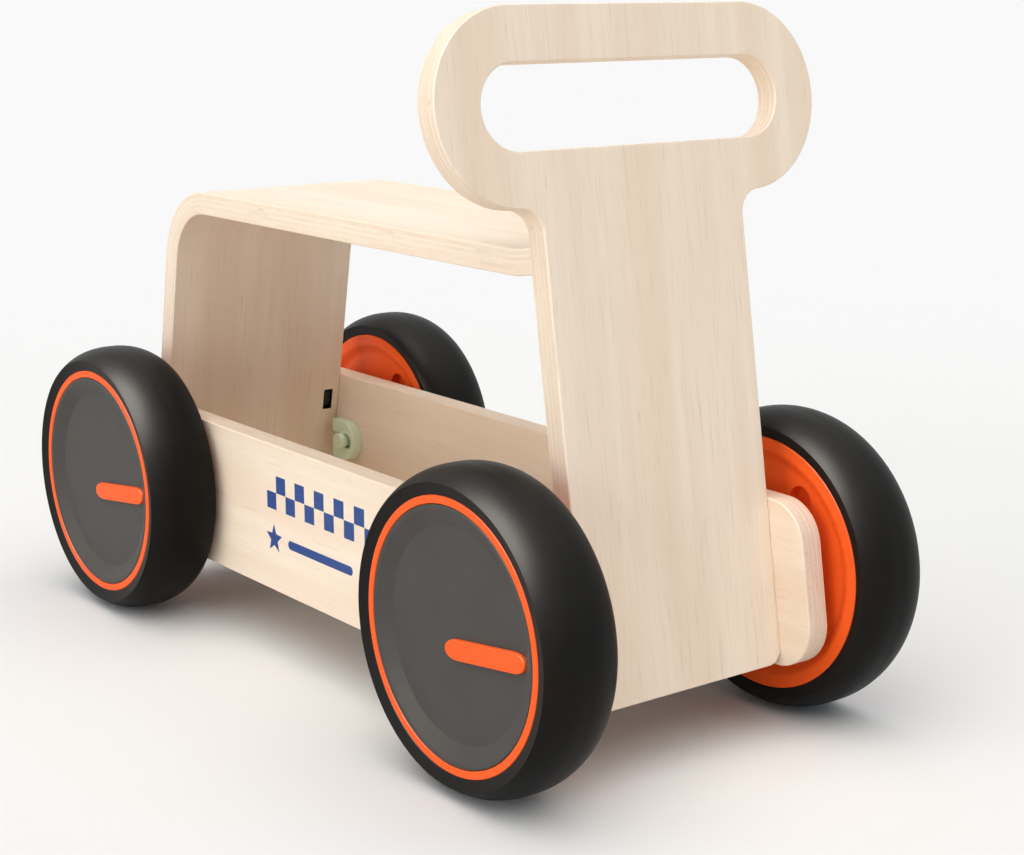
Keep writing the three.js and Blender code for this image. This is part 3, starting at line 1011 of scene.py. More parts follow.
@dataclass
class SideBoards:
    """The two printed boards that carry the axles."""

    sizes: CarSizes
    finishes: Finishes
    overhang: float = 0.022
    corner: float = 0.023
    axle_bore: float = 0.0056
    bolt_bore: float = 0.0033
    seed: float = 0.31

    def outline(self) -> Array:
        """A trapezium with rounded corners.

        Its ends are parallel to the panel and to the leg, a ply and the
        overhang beyond the faces that hold them, measured square to the faces.

        Returns:
            Rows of (y, z, normal y, normal z).
        """
        size = self.sizes
        past = size.ply + self.overhang
        low, high = size.board_foot, size.board_top

        def end(start: float, lean: float, way: int, z: float) -> float:
            """Y of one end at a level."""
            shift = (z - size.wheel_radius) * math.tan(lean)
            return start + way * past / math.cos(lean) - way * shift

        front, rear = (size.panel_back, size.panel_lean, -1), (size.leg_front, size.leg_lean, 1)
        corners = ((front, low), (rear, low), (rear, high), (front, high))
        return rounded([(end(*which, z), z, self.corner) for which, z in corners])

    def bores(self) -> tuple[Array, ...]:
        """Bores for the axles and the bolts.

        Returns:
            Circles, run clockwise.
        """
        size = self.sizes
        axles = [(axle.value * size.half_base, size.wheel_radius, self.axle_bore) for axle in Axle]
        bolts: list[Triple] = []
        for start, lean, into in (
            (size.panel_back, -size.panel_lean, -1),
            (size.leg_front, size.leg_lean, 1),
        ):
            for level in size.bolt_levels:
                depth = into * size.ply / 2
                y = start + depth * math.cos(lean) - level * math.sin(lean)
                z = size.wheel_radius + depth * math.sin(lean) + level * math.cos(lean)
                bolts.append((y, z, self.bolt_bore))
        return tuple(arc(y, z, radius, math.tau, 0)[:-1] for y, z, radius in axles + bolts)

    def build(self) -> None:
        """Makes both boards and ties them to the frame."""
        size = self.sizes
        for side in Side:
            start = -size.board_out if side is Side.RIGHT else size.half_width
            plane = Plane((start, 0.0, 0.0), (0.0, 1.0, 0.0), (0.0, 0.0, 1.0))
            seed = self.seed * side.value
            plate = Plate(plane, size.ply, self.outline(), size.edge, self.bores(), seed=seed)
            board = plate.build(f"printed_board_{side.word}", self.finishes.printed)
            put(board, "frame", "birch_plywood", f"side_board_{side.word}")


@dataclass
class HandlePanel:
    """The leaning front panel with its pill-shaped grip."""

    sizes: CarSizes
    finishes: Finishes
    length: float = 0.3335
    grip_length: float = 0.2372
    grip_band: float = 0.0262
    slot_height: float = 0.0405
    neck: float = 0.012
    corner: float = 0.008
    edge: float = 0.0008
    seed: float = 0.77

    @property
    def foot(self) -> float:
        """Place of the lower edge up the slope."""
        size = self.sizes
        return (size.board_foot - size.wheel_radius) / math.cos(size.panel_lean)

    @property
    def grip_radius(self) -> float:
        """Outer radius of the grip's ends."""
        return self.slot_height / 2 + self.grip_band

    @property
    def grip_level(self) -> float:
        """Place of the grip's middle up the slope."""
        return self.foot + self.length - self.grip_radius

    def outline(self) -> Array:
        """The panel's outline, anticlockwise from its lower right corner.

        The neck's hollow arc touches the stem's side and the grip's round end:
        its centre is the sum of both radii from the end's centre.

        Returns:
            Rows of (x, up, normal x, normal up).
        """
        half, reach = self.sizes.half_width, self.grip_length / 2 - self.grip_radius
        past = half + self.neck - reach
        drop = math.sqrt((self.grip_radius + self.neck) ** 2 - past**2)
        touch, level = math.atan2(drop, -past), self.grip_level
        inner, low, radius = half - self.corner, self.foot + self.corner, self.grip_radius
        return np.vstack(
            [
                arc(inner, low, self.corner, -math.pi / 2, 0),
                arc(half + self.neck, level - drop, self.neck, math.pi, touch)[:-1],
                arc(reach, level, radius, touch - math.pi, math.pi / 2),
                arc(-reach, level, radius, math.pi / 2, math.tau - touch),
                arc(-half - self.neck, level - drop, self.neck, math.pi - touch, 0)[1:],
                arc(-inner, low, self.corner, math.pi, 1.5 * math.pi),
            ]
        )

    def slot(self) -> Array:
        """The grip's slot: two half circles and the sides between.

        Returns:
            Rows of (x, up, normal x, normal up), run clockwise.
        """
        reach, radius = self.grip_length / 2 - self.grip_radius, self.slot_height / 2
        right = arc(reach, self.grip_level, radius, math.pi / 2, -math.pi / 2)
        left = arc(-reach, self.grip_level, radius, -math.pi / 2, -1.5 * math.pi)
        return np.vstack([right, left])

    def build(self) -> None:
        """Makes the panel and ties it to the frame."""
        size = self.sizes
        plate = Plate(
            size.panel_plane(),
            size.ply,
            self.outline(),
            self.edge,
            holes=(self.slot(),),
            hole_edge=self.edge,
            pockets=size.nut_pockets(),
            grain=Grain.SECOND,
            seed=self.seed,
        )
        panel = plate.build("grip_panel", self.finishes.birch)
        put(panel, "frame", "birch_plywood", "handle_panel")


@dataclass
class BentSeat:
    """The seat and rear leg, bent from one sheet of plywood."""

    sizes: CarSizes
    finishes: Finishes
    bend: float = 0.035
    tip_bend: float = 0.060
    tip: float = 0.007
    edge: float = 0.0008
    station: float = 0.0015
    station_gap: float = 0.00001
    station_digits: int = 7
    corner_points: int = 5
    seed: Pair = (0.21, 0.4)
    pocket_reach: float = 0.0025
    pocket_share: float = 0.99

    def path(self) -> tuple[Array, Array, Array]:
        """The middle line of the sheet from its tip to the foot of its leg.

        The heading changes evenly along each bend and stays on the straights:
        it starts square to the panel, turns level, and then down the leg. The
        place is the running integral of the heading's (cosine, sine).

        Returns:
            Run, place (y, z) and heading at each station.
        """
        size, half = self.sizes, self.sizes.ply / 2
        lean, fall = size.panel_lean, math.pi / 2 - size.leg_lean
        top = size.seat_height
        bend_z = top - size.ply - self.bend
        bend_y = size.leg_front - self.leg_shift(bend_z) - self.bend / math.cos(size.leg_lean)
        rise = self.tip * math.sin(lean) + self.tip_bend * (1 - math.cos(lean))
        tip_z = top + rise
        tip_y = size.panel_back + (tip_z - size.wheel_radius) * math.tan(lean)
        level_y = tip_y + self.tip * math.cos(lean) + self.tip_bend * math.sin(lean)
        ray = np.array([math.cos(size.leg_lean), math.sin(size.leg_lean)])
        heel = np.array([bend_y, bend_z]) + self.bend * ray
        toe = np.array([size.leg_front - self.leg_shift(size.board_foot), size.board_foot])
        lengths = [
            self.tip,
            (self.tip_bend + half) * lean,
            bend_y - level_y,
            (self.bend + half) * fall,
            float(np.linalg.norm(toe - heel)),
        ]
        marks = np.concatenate([[0.0], np.cumsum(lengths)])
        run = np.unique(np.concatenate([marks, np.arange(0, marks[-1], self.station)]))
        heading = np.interp(run, marks, [-lean, -lean, 0.0, 0.0, -fall, -fall])
        middle = (heading[1:] + heading[:-1]) / 2
        turned = (heading[1:] - heading[:-1]) / 2
        chord = np.diff(run) * np.sinc(turned / math.pi)
        start = np.array([tip_y - half * math.sin(lean), tip_z - half * math.cos(lean)])
        steps = np.stack([chord * np.cos(middle), chord * np.sin(middle)], axis=1)
        place = start + np.vstack([np.zeros((1, 2)), np.cumsum(steps, axis=0)])
        return run, place, heading

    def leg_shift(self, z: float) -> float:
        """How far the leg's inner face leans forward at a level."""
        return (z - self.sizes.wheel_radius) * math.tan(self.sizes.leg_lean)

    def section(self, inset: Array) -> tuple[Array, ...]:
        """The sheet's cross-section: a rectangle with round corners.

        Each corner is a quarter circle of the edge radius less the inset. The
        lower side has extra points where the nut pockets' sides meet it.

        Args:
            inset: How far each ring is drawn in.

        Returns:
            Across and depth, as (rings, points), and both parts of each point's normal.
        """
        size = self.sizes
        turn = np.linspace(0, math.pi / 2, self.corner_points)
        angle = (turn[None, :] + np.array([0, 1, 2, 3])[:, None] * math.pi / 2).ravel()
        signs_x = np.repeat([1.0, -1.0, -1.0, 1.0], self.corner_points)
        signs_t = np.repeat([1.0, 1.0, -1.0, -1.0], self.corner_points)
        radius = (self.edge - inset)[:, None]
        across = signs_x * (size.half_width - self.edge) + radius * np.cos(angle)
        depth = signs_t * (size.ply / 2 - self.edge) + radius * np.sin(angle)
        sides = np.unique([p.a + k * p.half_a for p in size.nut_pockets() for k in (-1, 1)])
        extra = np.broadcast_to(sides, (len(inset), len(sides)))
        below = np.broadcast_to((inset - size.ply / 2)[:, None], extra.shape)
        lower = [3 * self.corner_points] * len(sides)
        return (
            np.insert(across, lower, extra, axis=1),
            np.insert(depth, lower, below, axis=1),
            np.insert(np.cos(angle), lower, 0.0),
            np.insert(np.sin(angle), lower, -1.0),
        )

    def build(self) -> None:
        """Carries the section along the path, rounds both ends and cuts the pockets."""
        size, shell = self.sizes, Shell()
        run, place, heading = self.path()
        total = run[-1]
        toe = total - self.foot_run()
        levels = [p.b + k * p.half_b for p in size.nut_pockets() for k in (-1, 1)]
        stops = np.unique(np.round([toe - level for level in levels], self.station_digits))
        turn = np.linspace(0, math.pi / 2, self.corner_points)
        lead, draw = self.edge * (1 - np.cos(turn)), self.edge * (1 - np.sin(turn))
        end = self.edge + self.station_gap
        inner = run[(run > end) & (run < total - end)]
        inner = np.unique(np.concatenate([inner, stops]))
        along = np.concatenate([lead, inner, total - lead[::-1]])
        inset = np.concatenate([draw, 0 * inner, draw[::-1]])
        tilt = np.concatenate([-np.cos(turn), 0 * inner, np.cos(turn)[::-1]])
        y, z = np.interp(along, run, place[:, 0]), np.interp(along, run, place[:, 1])
        way = np.interp(along, run, heading)
        across, depth, normal_x, normal_t = self.section(inset)
        cosine, sine = np.cos(way)[:, None], np.sin(way)[:, None]
        places = [across, y[:, None] - depth * sine, z[:, None] + depth * cosine]
        points = np.stack(places, axis=-1)
        flat, lean = np.sqrt(1 - tilt**2)[:, None], tilt[:, None]
        normals = np.stack(
            [
                flat * normal_x,
                -flat * normal_t * sine + lean * cosine,
                flat * normal_t * cosine + lean * sine,
            ],
            axis=-1,
        )
        lengthwise = np.broadcast_to(along[:, None], across.shape) + self.seed[1]
        grain = np.stack([across + self.seed[0], lengthwise, size.ply / 2 - depth], axis=-1)
        shell.cap(shell.grid(points, normals, grain))
        self.cut_pockets(shell)
        seat = shell.build("bent_ply_seat", self.finishes.seat_birch)
        put(seat, "frame", "birch_plywood", "bent_seat")

    def foot_run(self) -> float:
        """Run from axle level to the toe, down the leg."""
        size = self.sizes
        return (size.wheel_radius - size.board_foot) / math.cos(size.leg_lean)

    def cut_pockets(self, shell: Shell) -> None:
        """Opens the leg's inner face over each nut pocket and adds its walls.

        Args:
            shell: The seat's surface.
        """
        size = self.sizes
        lean = size.leg_lean
        up = np.array([0.0, -math.sin(lean), math.cos(lean)])
        into = np.array([0.0, math.cos(lean), math.sin(lean)])
        origin = np.array([0.0, size.leg_front, size.wheel_radius])
        for pocket in size.nut_pockets():
            middle = origin + np.array([pocket.a, 0, 0]) + pocket.b * up
            high = pocket.half_b * self.pocket_share
            shell.drop(middle, np.array([pocket.half_a, self.pocket_reach, high]))
            a, b = pocket.corners()
            mouth = middle + a[:, None] * np.array([1.0, 0, 0]) + b[:, None] * up
            rings = np.stack([mouth, mouth + pocket.depth * into])
            core = np.full(rings.shape[:2], size.ply / 2)
            grain = np.stack([rings[..., 0], rings[..., 2], core], axis=-1)
            index = shell.grid(rings, np.broadcast_to(-into, rings.shape), grain)
            shell.fill(index[1])


@dataclass(frozen=True)
class Hub:
    """A wheel's own frame: axial distance outward from its middle, then Y and Z.

    On the right the frame is turned half round about Z, so its Y runs forward.
    """

    side: Side
    axle: Axle
    sizes: CarSizes
    half_track: float = 0.1007

    @property
    def corner(self) -> str:
        """The corner's words in the CAD nodes' names."""
        return f"{self.axle.word}_{self.side.word}"

    @property
    def centre(self) -> Triple:
        """The wheel's middle."""
        along = self.axle.value * self.sizes.half_base
        return self.side.value * self.half_track, along, self.sizes.wheel_radius

    def turn(self, axial: Array, y: Array, z: Array) -> Array:
        """Directions of the wheel as directions of the car."""
        return np.stack([self.side.value * axial, self.side.value * y, z], axis=-1)

    def place(self, axial: Array, y: Array, z: Array) -> Array:
        """Points of the wheel as points of the car."""
        return np.array(self.centre) + self.turn(axial, y, z)

    def lathe(
        self,
        shell: Shell,
        profile: Array,
        around: int = RING_POINTS,
        middle: Pair = (0.0, 0.0),
    ) -> Array:
        """Turns a profile about the axle, or about a line beside it.

        A point at radius r and axial distance s goes to (s, r cos q, r sin q)
        for evenly spaced angles q; its normal turns with it.

        Args:
            shell: The surface to add to.
            profile: Rows of (radius, axial, normal radius, normal axial).
            around: Points of a ring.
            middle: Y and Z of the line, from the axle.

        Returns:
            The vertices' numbers, as (profile points, around).
        """
        angle = np.arange(around) * math.tau / around
        cosine, sine = np.cos(angle)[None, :], np.sin(angle)[None, :]
        radius, axial, out, face = (profile[:, k, None] for k in range(4))
        y, z = middle[0] + radius * cosine, middle[1] + radius * sine
        points = self.place(axial + 0 * cosine, y, z)
        return shell.grid(points, self.turn(face + 0 * cosine, out * cosine, out * sine))


@dataclass
class Wheel:
    """A moulded wheel: tyre, orange rim, grey cap and bare orange badge."""

    hub: Hub
    finishes: Finishes
    tyre_depth: float = 0.0128
    half_tyre: float = 0.0212
    tread_flat: float = 0.002
    crown_start: float = math.radians(35)
    crown_points: int = 33
    crease: float = 0.0734
    crease_flat: float = 0.0002
    crease_soft: float = 0.0001
    bead_drop: float = 0.0002
    bead_soft: float = 0.0008
    rim_face: float = 0.0196
    rim_soft: float = 0.0006
    fine_soft: float = 0.0003
    ring_inner: float = 0.0631
    barrel: float = 0.0582
    dish_radius: float = 0.0522
    dish_depth: float = 0.0036
    dish_foot: float = 0.0035
    dish_foot_soft: float = 0.006
    dish_run: float = 0.0088
    dish_lip_soft: float = 0.005
    web: float = 0.0085
    web_soft: float = 0.001
    web_land: float = 0.003
    web_hole_floor: float = 0.002
    web_hole: float = 0.0075
    web_hole_soft: float = 0.0004
    web_hole_reach: float = 0.0442
    web_hole_angle: float = math.radians(122)
    hub_radius: float = 0.016
    hub_land: float = 0.002
    hub_bore: float = 0.00555
    hub_inner: float = -0.0232
    hub_outer: float = 0.0081
    cap_edge: float = 0.0628
    cap_thickness: float = 0.003
    cap_soft: float = 0.0005
    cap_lip: float = 0.0022
    cap_lip_drop: float = 0.0004
    cap_lip_soft: float = 0.003
    cap_dish: float = 0.0525
    cap_dish_soft: float = 0.0025
    cap_depth: float = 0.0046
    cap_back_run: float = 0.003
    cap_back_soft: float = 0.002
    cap_middle: float = 0.004
    badge_length: float = 0.0616
    badge_width: float = 0.0102
    badge_base: float = 0.0144
    badge_face: float = 0.0172
    badge_reach: float = 0.0237
    badge_drop: float = 0.0032
    badge_tilt: float = math.radians(8)
    badge_soft: float = 0.0008
    badge_end: float = 0.0088
    badge_end_points: int = 33

    @property
    def radius(self) -> float:
        """The tyre's outer radius."""
        return self.hub.sizes.wheel_radius

    def build(self) -> None:
        """Makes the wheel's four pieces and ties them to its body."""
        body = f"{self.hub.corner}_wheel"
        for piece, slot, node in (
            (self.tyre(), "black_rubber", "tyre"),
            (self.rim(), "orange_plastic", "rim"),
            (self.cap(), "grey_plastic", "hub_cap"),
            (self.badge(), "orange_plastic", "badge"),
        ):
            put(piece, body, slot, f"{self.hub.corner}_{node}")

    def tyre(self) -> bpy.types.Object:
        """A sidewall band that slopes to a crease, then a crown of half ellipses.

        The crown's point at angle f has axial distance flat + run * cos f and
        radius top - rise * (1 - sin f). The angle starts some way up the
        ellipse, and run and rise are such that the start meets the crease.

        Returns:
            The tyre.
        """
        inner, flat = self.radius - self.tyre_depth, self.tread_flat
        start = self.crown_start
        run = (self.half_tyre - flat) / math.cos(start)
        rise = (self.radius - self.crease) / (1 - math.sin(start))
        halves = ((start, math.pi / 2), (math.pi / 2, math.pi - start))
        turn = np.concatenate([np.linspace(*half, self.crown_points) for half in halves])
        axial = flat * np.repeat([1.0, -1.0], self.crown_points) + run * np.cos(turn)
        radius = self.radius - rise * (1 - np.sin(turn))
        crown = np.stack([radius, axial, np.sin(turn) / rise, np.cos(turn) / run], axis=1)
        crown[:, 2:] /= np.linalg.norm(crown[:, 2:], axis=1, keepdims=True)
        near = rounded(
            [
                (inner, 0.0, 0.0),
                (inner, self.rim_face - self.bead_drop, self.bead_soft),
                (self.crease - self.crease_flat, self.half_tyre, self.crease_soft),
                (self.crease, self.half_tyre, 0.0),
            ],
            closed=False,
        )
        near[:, 2:] *= -1
        far = near[::-1] * np.array([1, -1, 1, -1])
        shell = Shell()
        index = self.hub.lathe(shell, np.vstack([near[1:-1], crown, far[1:-1]]))
        shell.band(index[-1], index[0])
        return shell.build(f"{self.hub.corner}_smooth_tyre", self.finishes.rubber)

    def rim(self) -> bpy.types.Object:
        """The rim: dished inner face, narrow outer ring, barrel, web and hub.

        Two turned bands meet at the web's flat faces, which have four round
        holes on one circle.

        Returns:
            The rim.
        """
        outer, face, soft = self.radius - self.tyre_depth, self.rim_face, self.rim_soft
        web_in = self.dish_depth - face
        web_out = web_in + self.web
        seat = face - self.cap_thickness
        dish, hub = self.dish_radius, self.hub_radius
        skin = rounded(
            [
                (dish, web_in, 0.0),
                (dish + self.dish_foot, web_in, self.dish_foot_soft),
                (dish + self.dish_run, -face, self.dish_lip_soft),
                (outer, -face, soft),
                (outer, face, soft),
                (self.ring_inner, face, soft),
                (self.ring_inner, seat, self.fine_soft),
                (self.barrel, seat, soft),
                (self.barrel, web_out, self.web_soft),
                (self.barrel - self.web_land, web_out, 0.0),
            ],
            closed=False,
        )
        core = rounded(
            [
                (hub + self.hub_land, web_out, 0.0),
                (hub, web_out, self.web_soft),
                (hub, self.hub_outer, soft),
                (self.hub_bore, self.hub_outer, self.fine_soft),
                (self.hub_bore, self.hub_inner, self.fine_soft),
                (hub, self.hub_inner, soft),
                (hub, web_in, self.web_soft),
                (hub + self.hub_land, web_in, 0.0),
            ],
            closed=False,
        )
        shell = Shell()
        skin_rings, core_rings = self.hub.lathe(shell, skin), self.hub.lathe(shell, core)
        mouths = [self.web_hole_wall(shell, quarter, web_in, web_out) for quarter in range(4)]
        shell.fill(skin_rings[0], core_rings[-1], *mouths)
        shell.fill(skin_rings[-1], core_rings[0])
        return shell.build(f"{self.hub.corner}_dished_rim", self.finishes.orange)

    def web_hole_wall(self, shell: Shell, quarter: int, low: float, high: float) -> Array:
        """Turns the wall and the floor of one blind round hole about its own axis.

        Args:
            shell: The rim's surface.
            quarter: Which of the four holes.
            low: Axial place of the web's inner face.
            high: Axial place of its outer face.

        Returns:
            The vertices' numbers of the hole's mouth.
        """
        radius, soft, floor = self.web_hole, self.web_hole_soft, high - self.web_hole_floor
        places = ((radius + soft, low), (radius, low), (radius, floor), (radius / 2, floor))
        profile = rounded([(*place, soft) for place in places], closed=False)
        profile[:, 2:] *= -1
        angle = self.web_hole_angle + quarter * math.pi / 2
        middle = (self.web_hole_reach * math.cos(angle), self.web_hole_reach * math.sin(angle))
        index = self.hub.lathe(shell, profile[1:], SMALL_RING_POINTS, middle)
        shell.fill(index[-1])
        return index[0]

    def cap(self) -> bpy.types.Object:
        """The grey cap: a thin disc with a narrow lip round a soft dish.

        Returns:
            The cap.
        """
        face, floor = self.rim_face, self.rim_face - self.cap_depth
        thin, soft = self.cap_thickness, self.cap_soft
        back, lip = face - self.dish_depth - thin, self.cap_edge - self.cap_lip
        profile = rounded(
            [
                (self.cap_middle, floor, 0.0),
                (self.cap_dish, floor, self.cap_dish_soft),
                (lip, face - self.cap_lip_drop, self.cap_lip_soft),
                (self.cap_edge, face, soft),
                (self.cap_edge, face - thin, soft),
                (lip - self.cap_back_run, face - thin, self.cap_back_soft),
                (self.cap_dish - self.cap_back_run, back, self.cap_back_soft),
                (self.cap_middle, back, 0.0),
            ],
            closed=False,
        )
        profile[:, 2:] *= -1
        shell = Shell()
        shell.cap(self.hub.lathe(shell, profile))
        return shell.build(f"{self.hub.corner}_dished_cap", self.finishes.grey)

    def badge(self) -> bpy.types.Object:
        """The bare bar in the cap's dish: straight sides, half ellipses as ends, tilted.

        A point of the outer end at angle q lies at reach + end * cos q along
        the bar and at half the width * sin q across it; a half turn makes the
        other end.

        Returns:
            The badge.
        """
        hub, tilt = self.hub, self.badge_tilt
        zero, cosine, sine = np.zeros(()), np.array(math.cos(tilt)), np.array(math.sin(tilt))
        spot = (self.badge_base, self.badge_reach, -self.badge_drop)
        middle = hub.place(*map(np.array, spot))
        first, second = hub.turn(zero, cosine, sine), hub.turn(zero, -sine, cosine)
        reach, half = self.badge_length / 2 - self.badge_end, self.badge_width / 2
        turn = np.linspace(-math.pi / 2, math.pi / 2, self.badge_end_points)
        along, across = self.badge_end * np.cos(turn), half * np.sin(turn)
        out, over = half * np.cos(turn), self.badge_end * np.sin(turn)
        length = np.hypot(out, over)
        end = np.stack([reach + along, across, out / length, over / length], axis=1)
        outline = np.vstack([end, -end])
        plane = Plane(tuple(middle.tolist()), tuple(first.tolist()), tuple(second.tolist()))
        plate = Plate(plane, self.badge_face - self.badge_base, outline, self.badge_soft)
        return plate.build(f"{hub.corner}_bare_badge", self.finishes.orange)


@dataclass
class AxleFittings:
    """What holds a wheel to its board: pin and horseshoe clip."""

    hub: Hub
    finishes: Finishes
    pin_radius: float = 0.0053
    pin_groove: float = 0.0043
    pin_tip: float = 0.0042
    pin_middle: float = 0.001
    tip_soft: float = 0.0008
    groove_soft: float = 0.0002
    groove_play: float = 0.00025
    pin_head: float = 0.009
    head_face: float = 0.1091
    head_depth: float = 0.003
    head_root: float = 0.0003
    head_back_soft: float = 0.0005
    head_soft: float = 0.0008
    clip_thickness: float = 0.007
    clip_slot: float = 0.00455
    clip_run: float = 0.0047
    clip_corner: float = 0.0008
    clip_edge: float = 0.0007

    def build(self) -> None:
        """Makes the pin and the clip and ties them to the frame."""
        corner = self.hub.corner
        put(self.pin(), "frame", "sage_plastic", f"{corner}_axle_pin")
        put(self.clip(), "frame", "sage_plastic", f"{corner}_axle_clip")

    def pin(self) -> bpy.types.Object:
        """A turned pin with a rounded tip, a groove for the clip and a flat head.

        Returns:
            The pin.
        """
        size = self.hub.sizes
        zero = self.hub.half_track
        inner = size.half_width - self.clip_thickness - self.groove_play
        groove_end = size.half_width + self.groove_play
        end = self.head_face + self.head_depth
        places = [
            (self.pin_middle, inner - self.pin_tip, 0.0),
            (self.pin_radius, inner - self.pin_tip, self.tip_soft),
            (self.pin_radius, inner, self.groove_soft),
            (self.pin_groove, inner, self.groove_soft),
            (self.pin_groove, groove_end, self.groove_soft),
            (self.pin_radius, groove_end, self.groove_soft),
            (self.pin_radius, self.head_face, self.head_root),
            (self.pin_head, self.head_face, self.head_back_soft),
            (self.pin_head, end, self.head_soft),
            (self.pin_middle, end, 0.0),
        ]
        profile = rounded([(r, s - zero, soft) for r, s, soft in places], closed=False)
        shell = Shell()
        shell.cap(self.hub.lathe(shell, profile, SMALL_RING_POINTS))
        return shell.build(f"{self.hub.corner}_turned_pin", self.finishes.sage)

    def clip(self) -> bpy.types.Object:
        """A horseshoe plate, open to the rear, that sits in the pin's groove.

        Returns:
            The clip.
        """
        size, side = self.hub.sizes, self.hub.side.value
        reach, radius, slot = size.clip_length, size.clip_radius, self.clip_slot
        soft = self.clip_corner
        outline = np.vstack(
            [
                arc(0, 0, radius, math.pi / 2, 1.5 * math.pi),
                arc(reach - soft, -radius + soft, soft, -math.pi / 2, 0),
                arc(reach - soft, -slot - soft, soft, 0, math.pi / 2),
                arc(-self.clip_run, 0, slot, -math.pi / 2, -1.5 * math.pi),
                arc(reach - soft, slot + soft, soft, -math.pi / 2, 0),
                arc(reach - soft, radius - soft, soft, 0, math.pi / 2),
            ]
        )
        start = size.half_width - self.clip_thickness if side > 0 else -size.half_width
        plane = Plane((start, *self.hub.centre[1:]), (0.0, 1.0, 0.0), (0.0, 0.0, 1.0))
        plate = Plate(plane, self.clip_thickness, outline, self.clip_edge)
        return plate.build(f"{self.hub.corner}_horseshoe_clip", self.finishes.sage)


@dataclass
class CarriedParts:
    """CAD nodes whose shape is right as it is, with finishes of their own."""

    nodes: dict[str, bpy.types.Object]
    finishes: Finishes

    def dress(self) -> None:
        """Gives floor, dowels, bolts, nuts and washers their finishes."""
        choice = {
            "floor_panel": self.finishes.flat_birch,
            "dowel": self.finishes.beech,
            "_bolt_": self.finishes.zinc,
            "_nut_": self.finishes.black,
            "washer": self.finishes.zinc,
        }
        for name, node in self.nodes.items():
            for word, material in choice.items():
                if word in name:
                    node.data.materials.clear()
                    node.data.materials.append(material)
                    LOG.info("%s keeps its shape and takes %s", name, material.name)


@dataclass(frozen=True)
class Lamp:
    """A soft lamp far away: strength, the angle it spans, where it stands, tint in 0-1."""

    name: str
    strength: float
    spread: float
    source: Triple
    tint: Colour
    gloss_only: bool = False

    def build(self) -> None:
        """Adds the lamp; one for gloss alone shows in reflections and lights nothing else."""
        light = bpy.data.lights.new(self.name, "SUN")
        light.energy, light.angle, light.color = self.strength, self.spread, self.tint
        lamp = bpy.data.objects.new(self.name, light)
        lamp.rotation_euler = Vector(self.source).to_track_quat("Z", "Y").to_euler()
        lamp.visible_diffuse = not self.gloss_only
        bpy.context.scene.collection.objects.link(lamp)


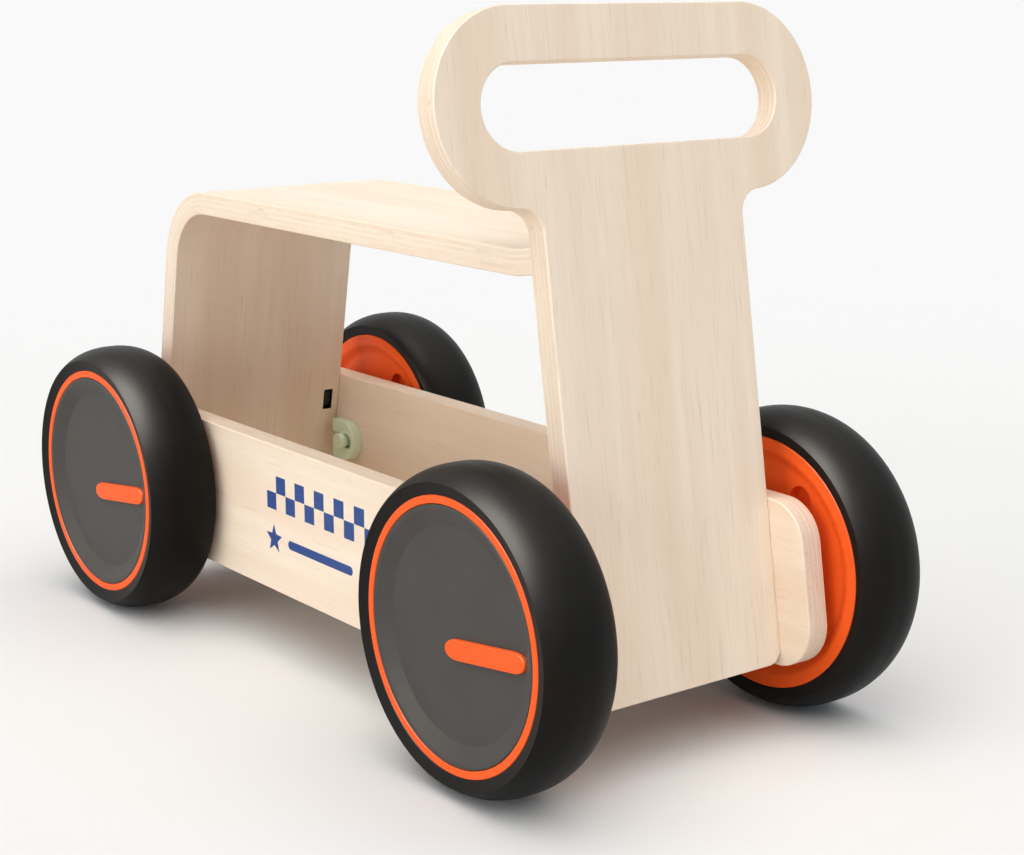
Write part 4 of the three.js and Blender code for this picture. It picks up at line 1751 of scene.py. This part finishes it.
@dataclass
class Studio:
    """Camera, lamps, floor and backdrop."""

    azimuth: float = math.radians(-37.562)
    elevation: float = math.radians(12.968)
    roll: float = math.radians(0.107)
    eye: Triple = (-0.6352, -0.8998, 0.3835)
    lens: float = 70.30
    sensor: float = 36.0
    sight: float = 100.0
    floor_reach: float = 30.0
    floor_colour: Colour = (228, 225, 222)
    floor_darker: float = 2.0
    floor_clouds: float = 1.5
    floor_roughness: float = 0.85
    floor_swing: float = 0.1
    floor_specular: float = 0.1
    sky_colour: Colour = (249, 249, 249)
    fade: Pair = (0.55, 1.5)
    surround: float = 0.38
    surround_colour: Colour = (216, 237, 255)
    lamps: tuple[Lamp, ...] = (
        Lamp("key", 2.66, math.radians(90), (-0.1, -0.18, 0.98), (1.0, 0.97, 0.935)),
        Lamp("side", 1.42, math.radians(36), (-0.98, -0.1, 0.16), (1.0, 0.98, 0.95)),
        Lamp("glint", 32.0, math.radians(56), (-0.56, -0.02, 0.82), (1.0, 0.93, 0.85), True),
    )

    def build(self) -> None:
        """Sets the stage."""
        self.camera()
        self.floor()
        self.world()
        for lamp in self.lamps:
            lamp.build()
        bpy.context.scene.view_settings.view_transform = "Standard"

    def camera(self) -> None:
        """Places the camera at the photograph's angle and focal length."""
        lens = bpy.data.cameras.new("camera")
        lens.lens, lens.sensor_width, lens.sensor_fit = self.lens, self.sensor, "HORIZONTAL"
        lens.clip_end = self.sight
        camera = bpy.data.objects.new("camera", lens)
        bpy.context.scene.collection.objects.link(camera)
        azimuth, elevation = self.azimuth, self.elevation
        flat = math.cos(elevation)
        back = Vector((math.sin(azimuth) * flat, -math.cos(azimuth) * flat, math.sin(elevation)))
        right = Vector((math.cos(azimuth), math.sin(azimuth), 0.0))
        axes = Matrix((right, back.cross(right), back)).transposed()
        turned = axes.to_4x4() @ Matrix.Rotation(self.roll, 4, "Z")
        camera.matrix_world = Matrix.Translation(self.eye) @ turned
        bpy.context.scene.camera = camera

    def floor(self) -> None:
        """A wide pale floor with faint clouds that fades into the backdrop."""
        shader = Shader.named("pale_floor")
        x, y, _ = shader.place()
        clouds = shader.noise(shader.join(x, y, 0.0), self.floor_clouds, FINE_DETAIL)
        darker = tuple(part - self.floor_darker for part in self.floor_colour)
        matt = {
            "Base Color": shader.blend(clouds, self.floor_colour, darker),
            "Roughness": self.floor_roughness + self.floor_swing * clouds,
            "Specular IOR Level": self.floor_specular,
        }
        surface = shader.node("ShaderNodeBsdfPrincipled", inputs=matt)
        white = shader.node("ShaderNodeEmission", inputs={"Color": linear(self.sky_colour)})
        away = (x * x + y * y).math("SQRT").ramp(*self.fade) * shader.sees_background()
        mixed = shader.node("ShaderNodeMixShader", inputs={0: away, 1: surface, 2: white})
        shader.add("ShaderNodeOutputMaterial", inputs={"Surface": mixed})
        corners = np.array([[-1, -1, 0], [1, -1, 0], [1, 1, 0], [-1, 1, 0.0]])
        mesh = bpy.data.meshes.new("floor")
        mesh.from_pydata(corners * self.floor_reach, [], [(0, 1, 2, 3)])
        mesh.materials.append(shader.owner)
        floor = bpy.data.objects.new("floor", mesh)
        bpy.context.scene.collection.objects.link(floor)

    def world(self) -> None:
        """Even cool light from all around, and the backdrop's white where it is seen."""
        shader = Shader(bpy.data.worlds.new("studio"))
        even = {"Color": linear(self.surround_colour), "Strength": self.surround}
        lit = shader.node("ShaderNodeBackground", inputs=even)
        backdrop = shader.node("ShaderNodeBackground", inputs={"Color": linear(self.sky_colour)})
        seen = shader.sees_background()
        mixed = shader.node("ShaderNodeMixShader", inputs={0: seen, 1: lit, 2: backdrop})
        shader.add("ShaderNodeOutputWorld", inputs={"Surface": mixed})
        bpy.context.scene.world = shader.owner


def main() -> None:
    """Loads the frame, builds the car's pieces in order and sets the stage."""
    logging.basicConfig(level=logging.INFO, format="%(name)s: %(message)s")
    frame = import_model()
    sizes, finishes = CarSizes(), Finishes()
    SideBoards(sizes, finishes).build()
    HandlePanel(sizes, finishes).build()
    BentSeat(sizes, finishes).build()
    for axle in Axle:
        for side in Side:
            hub = Hub(side, axle, sizes)
            Wheel(hub, finishes).build()
            AxleFittings(hub, finishes).build()
    CarriedParts(frame["nodes"], finishes).dress()
    Studio().build()


if __name__ == "__main__":
    main()
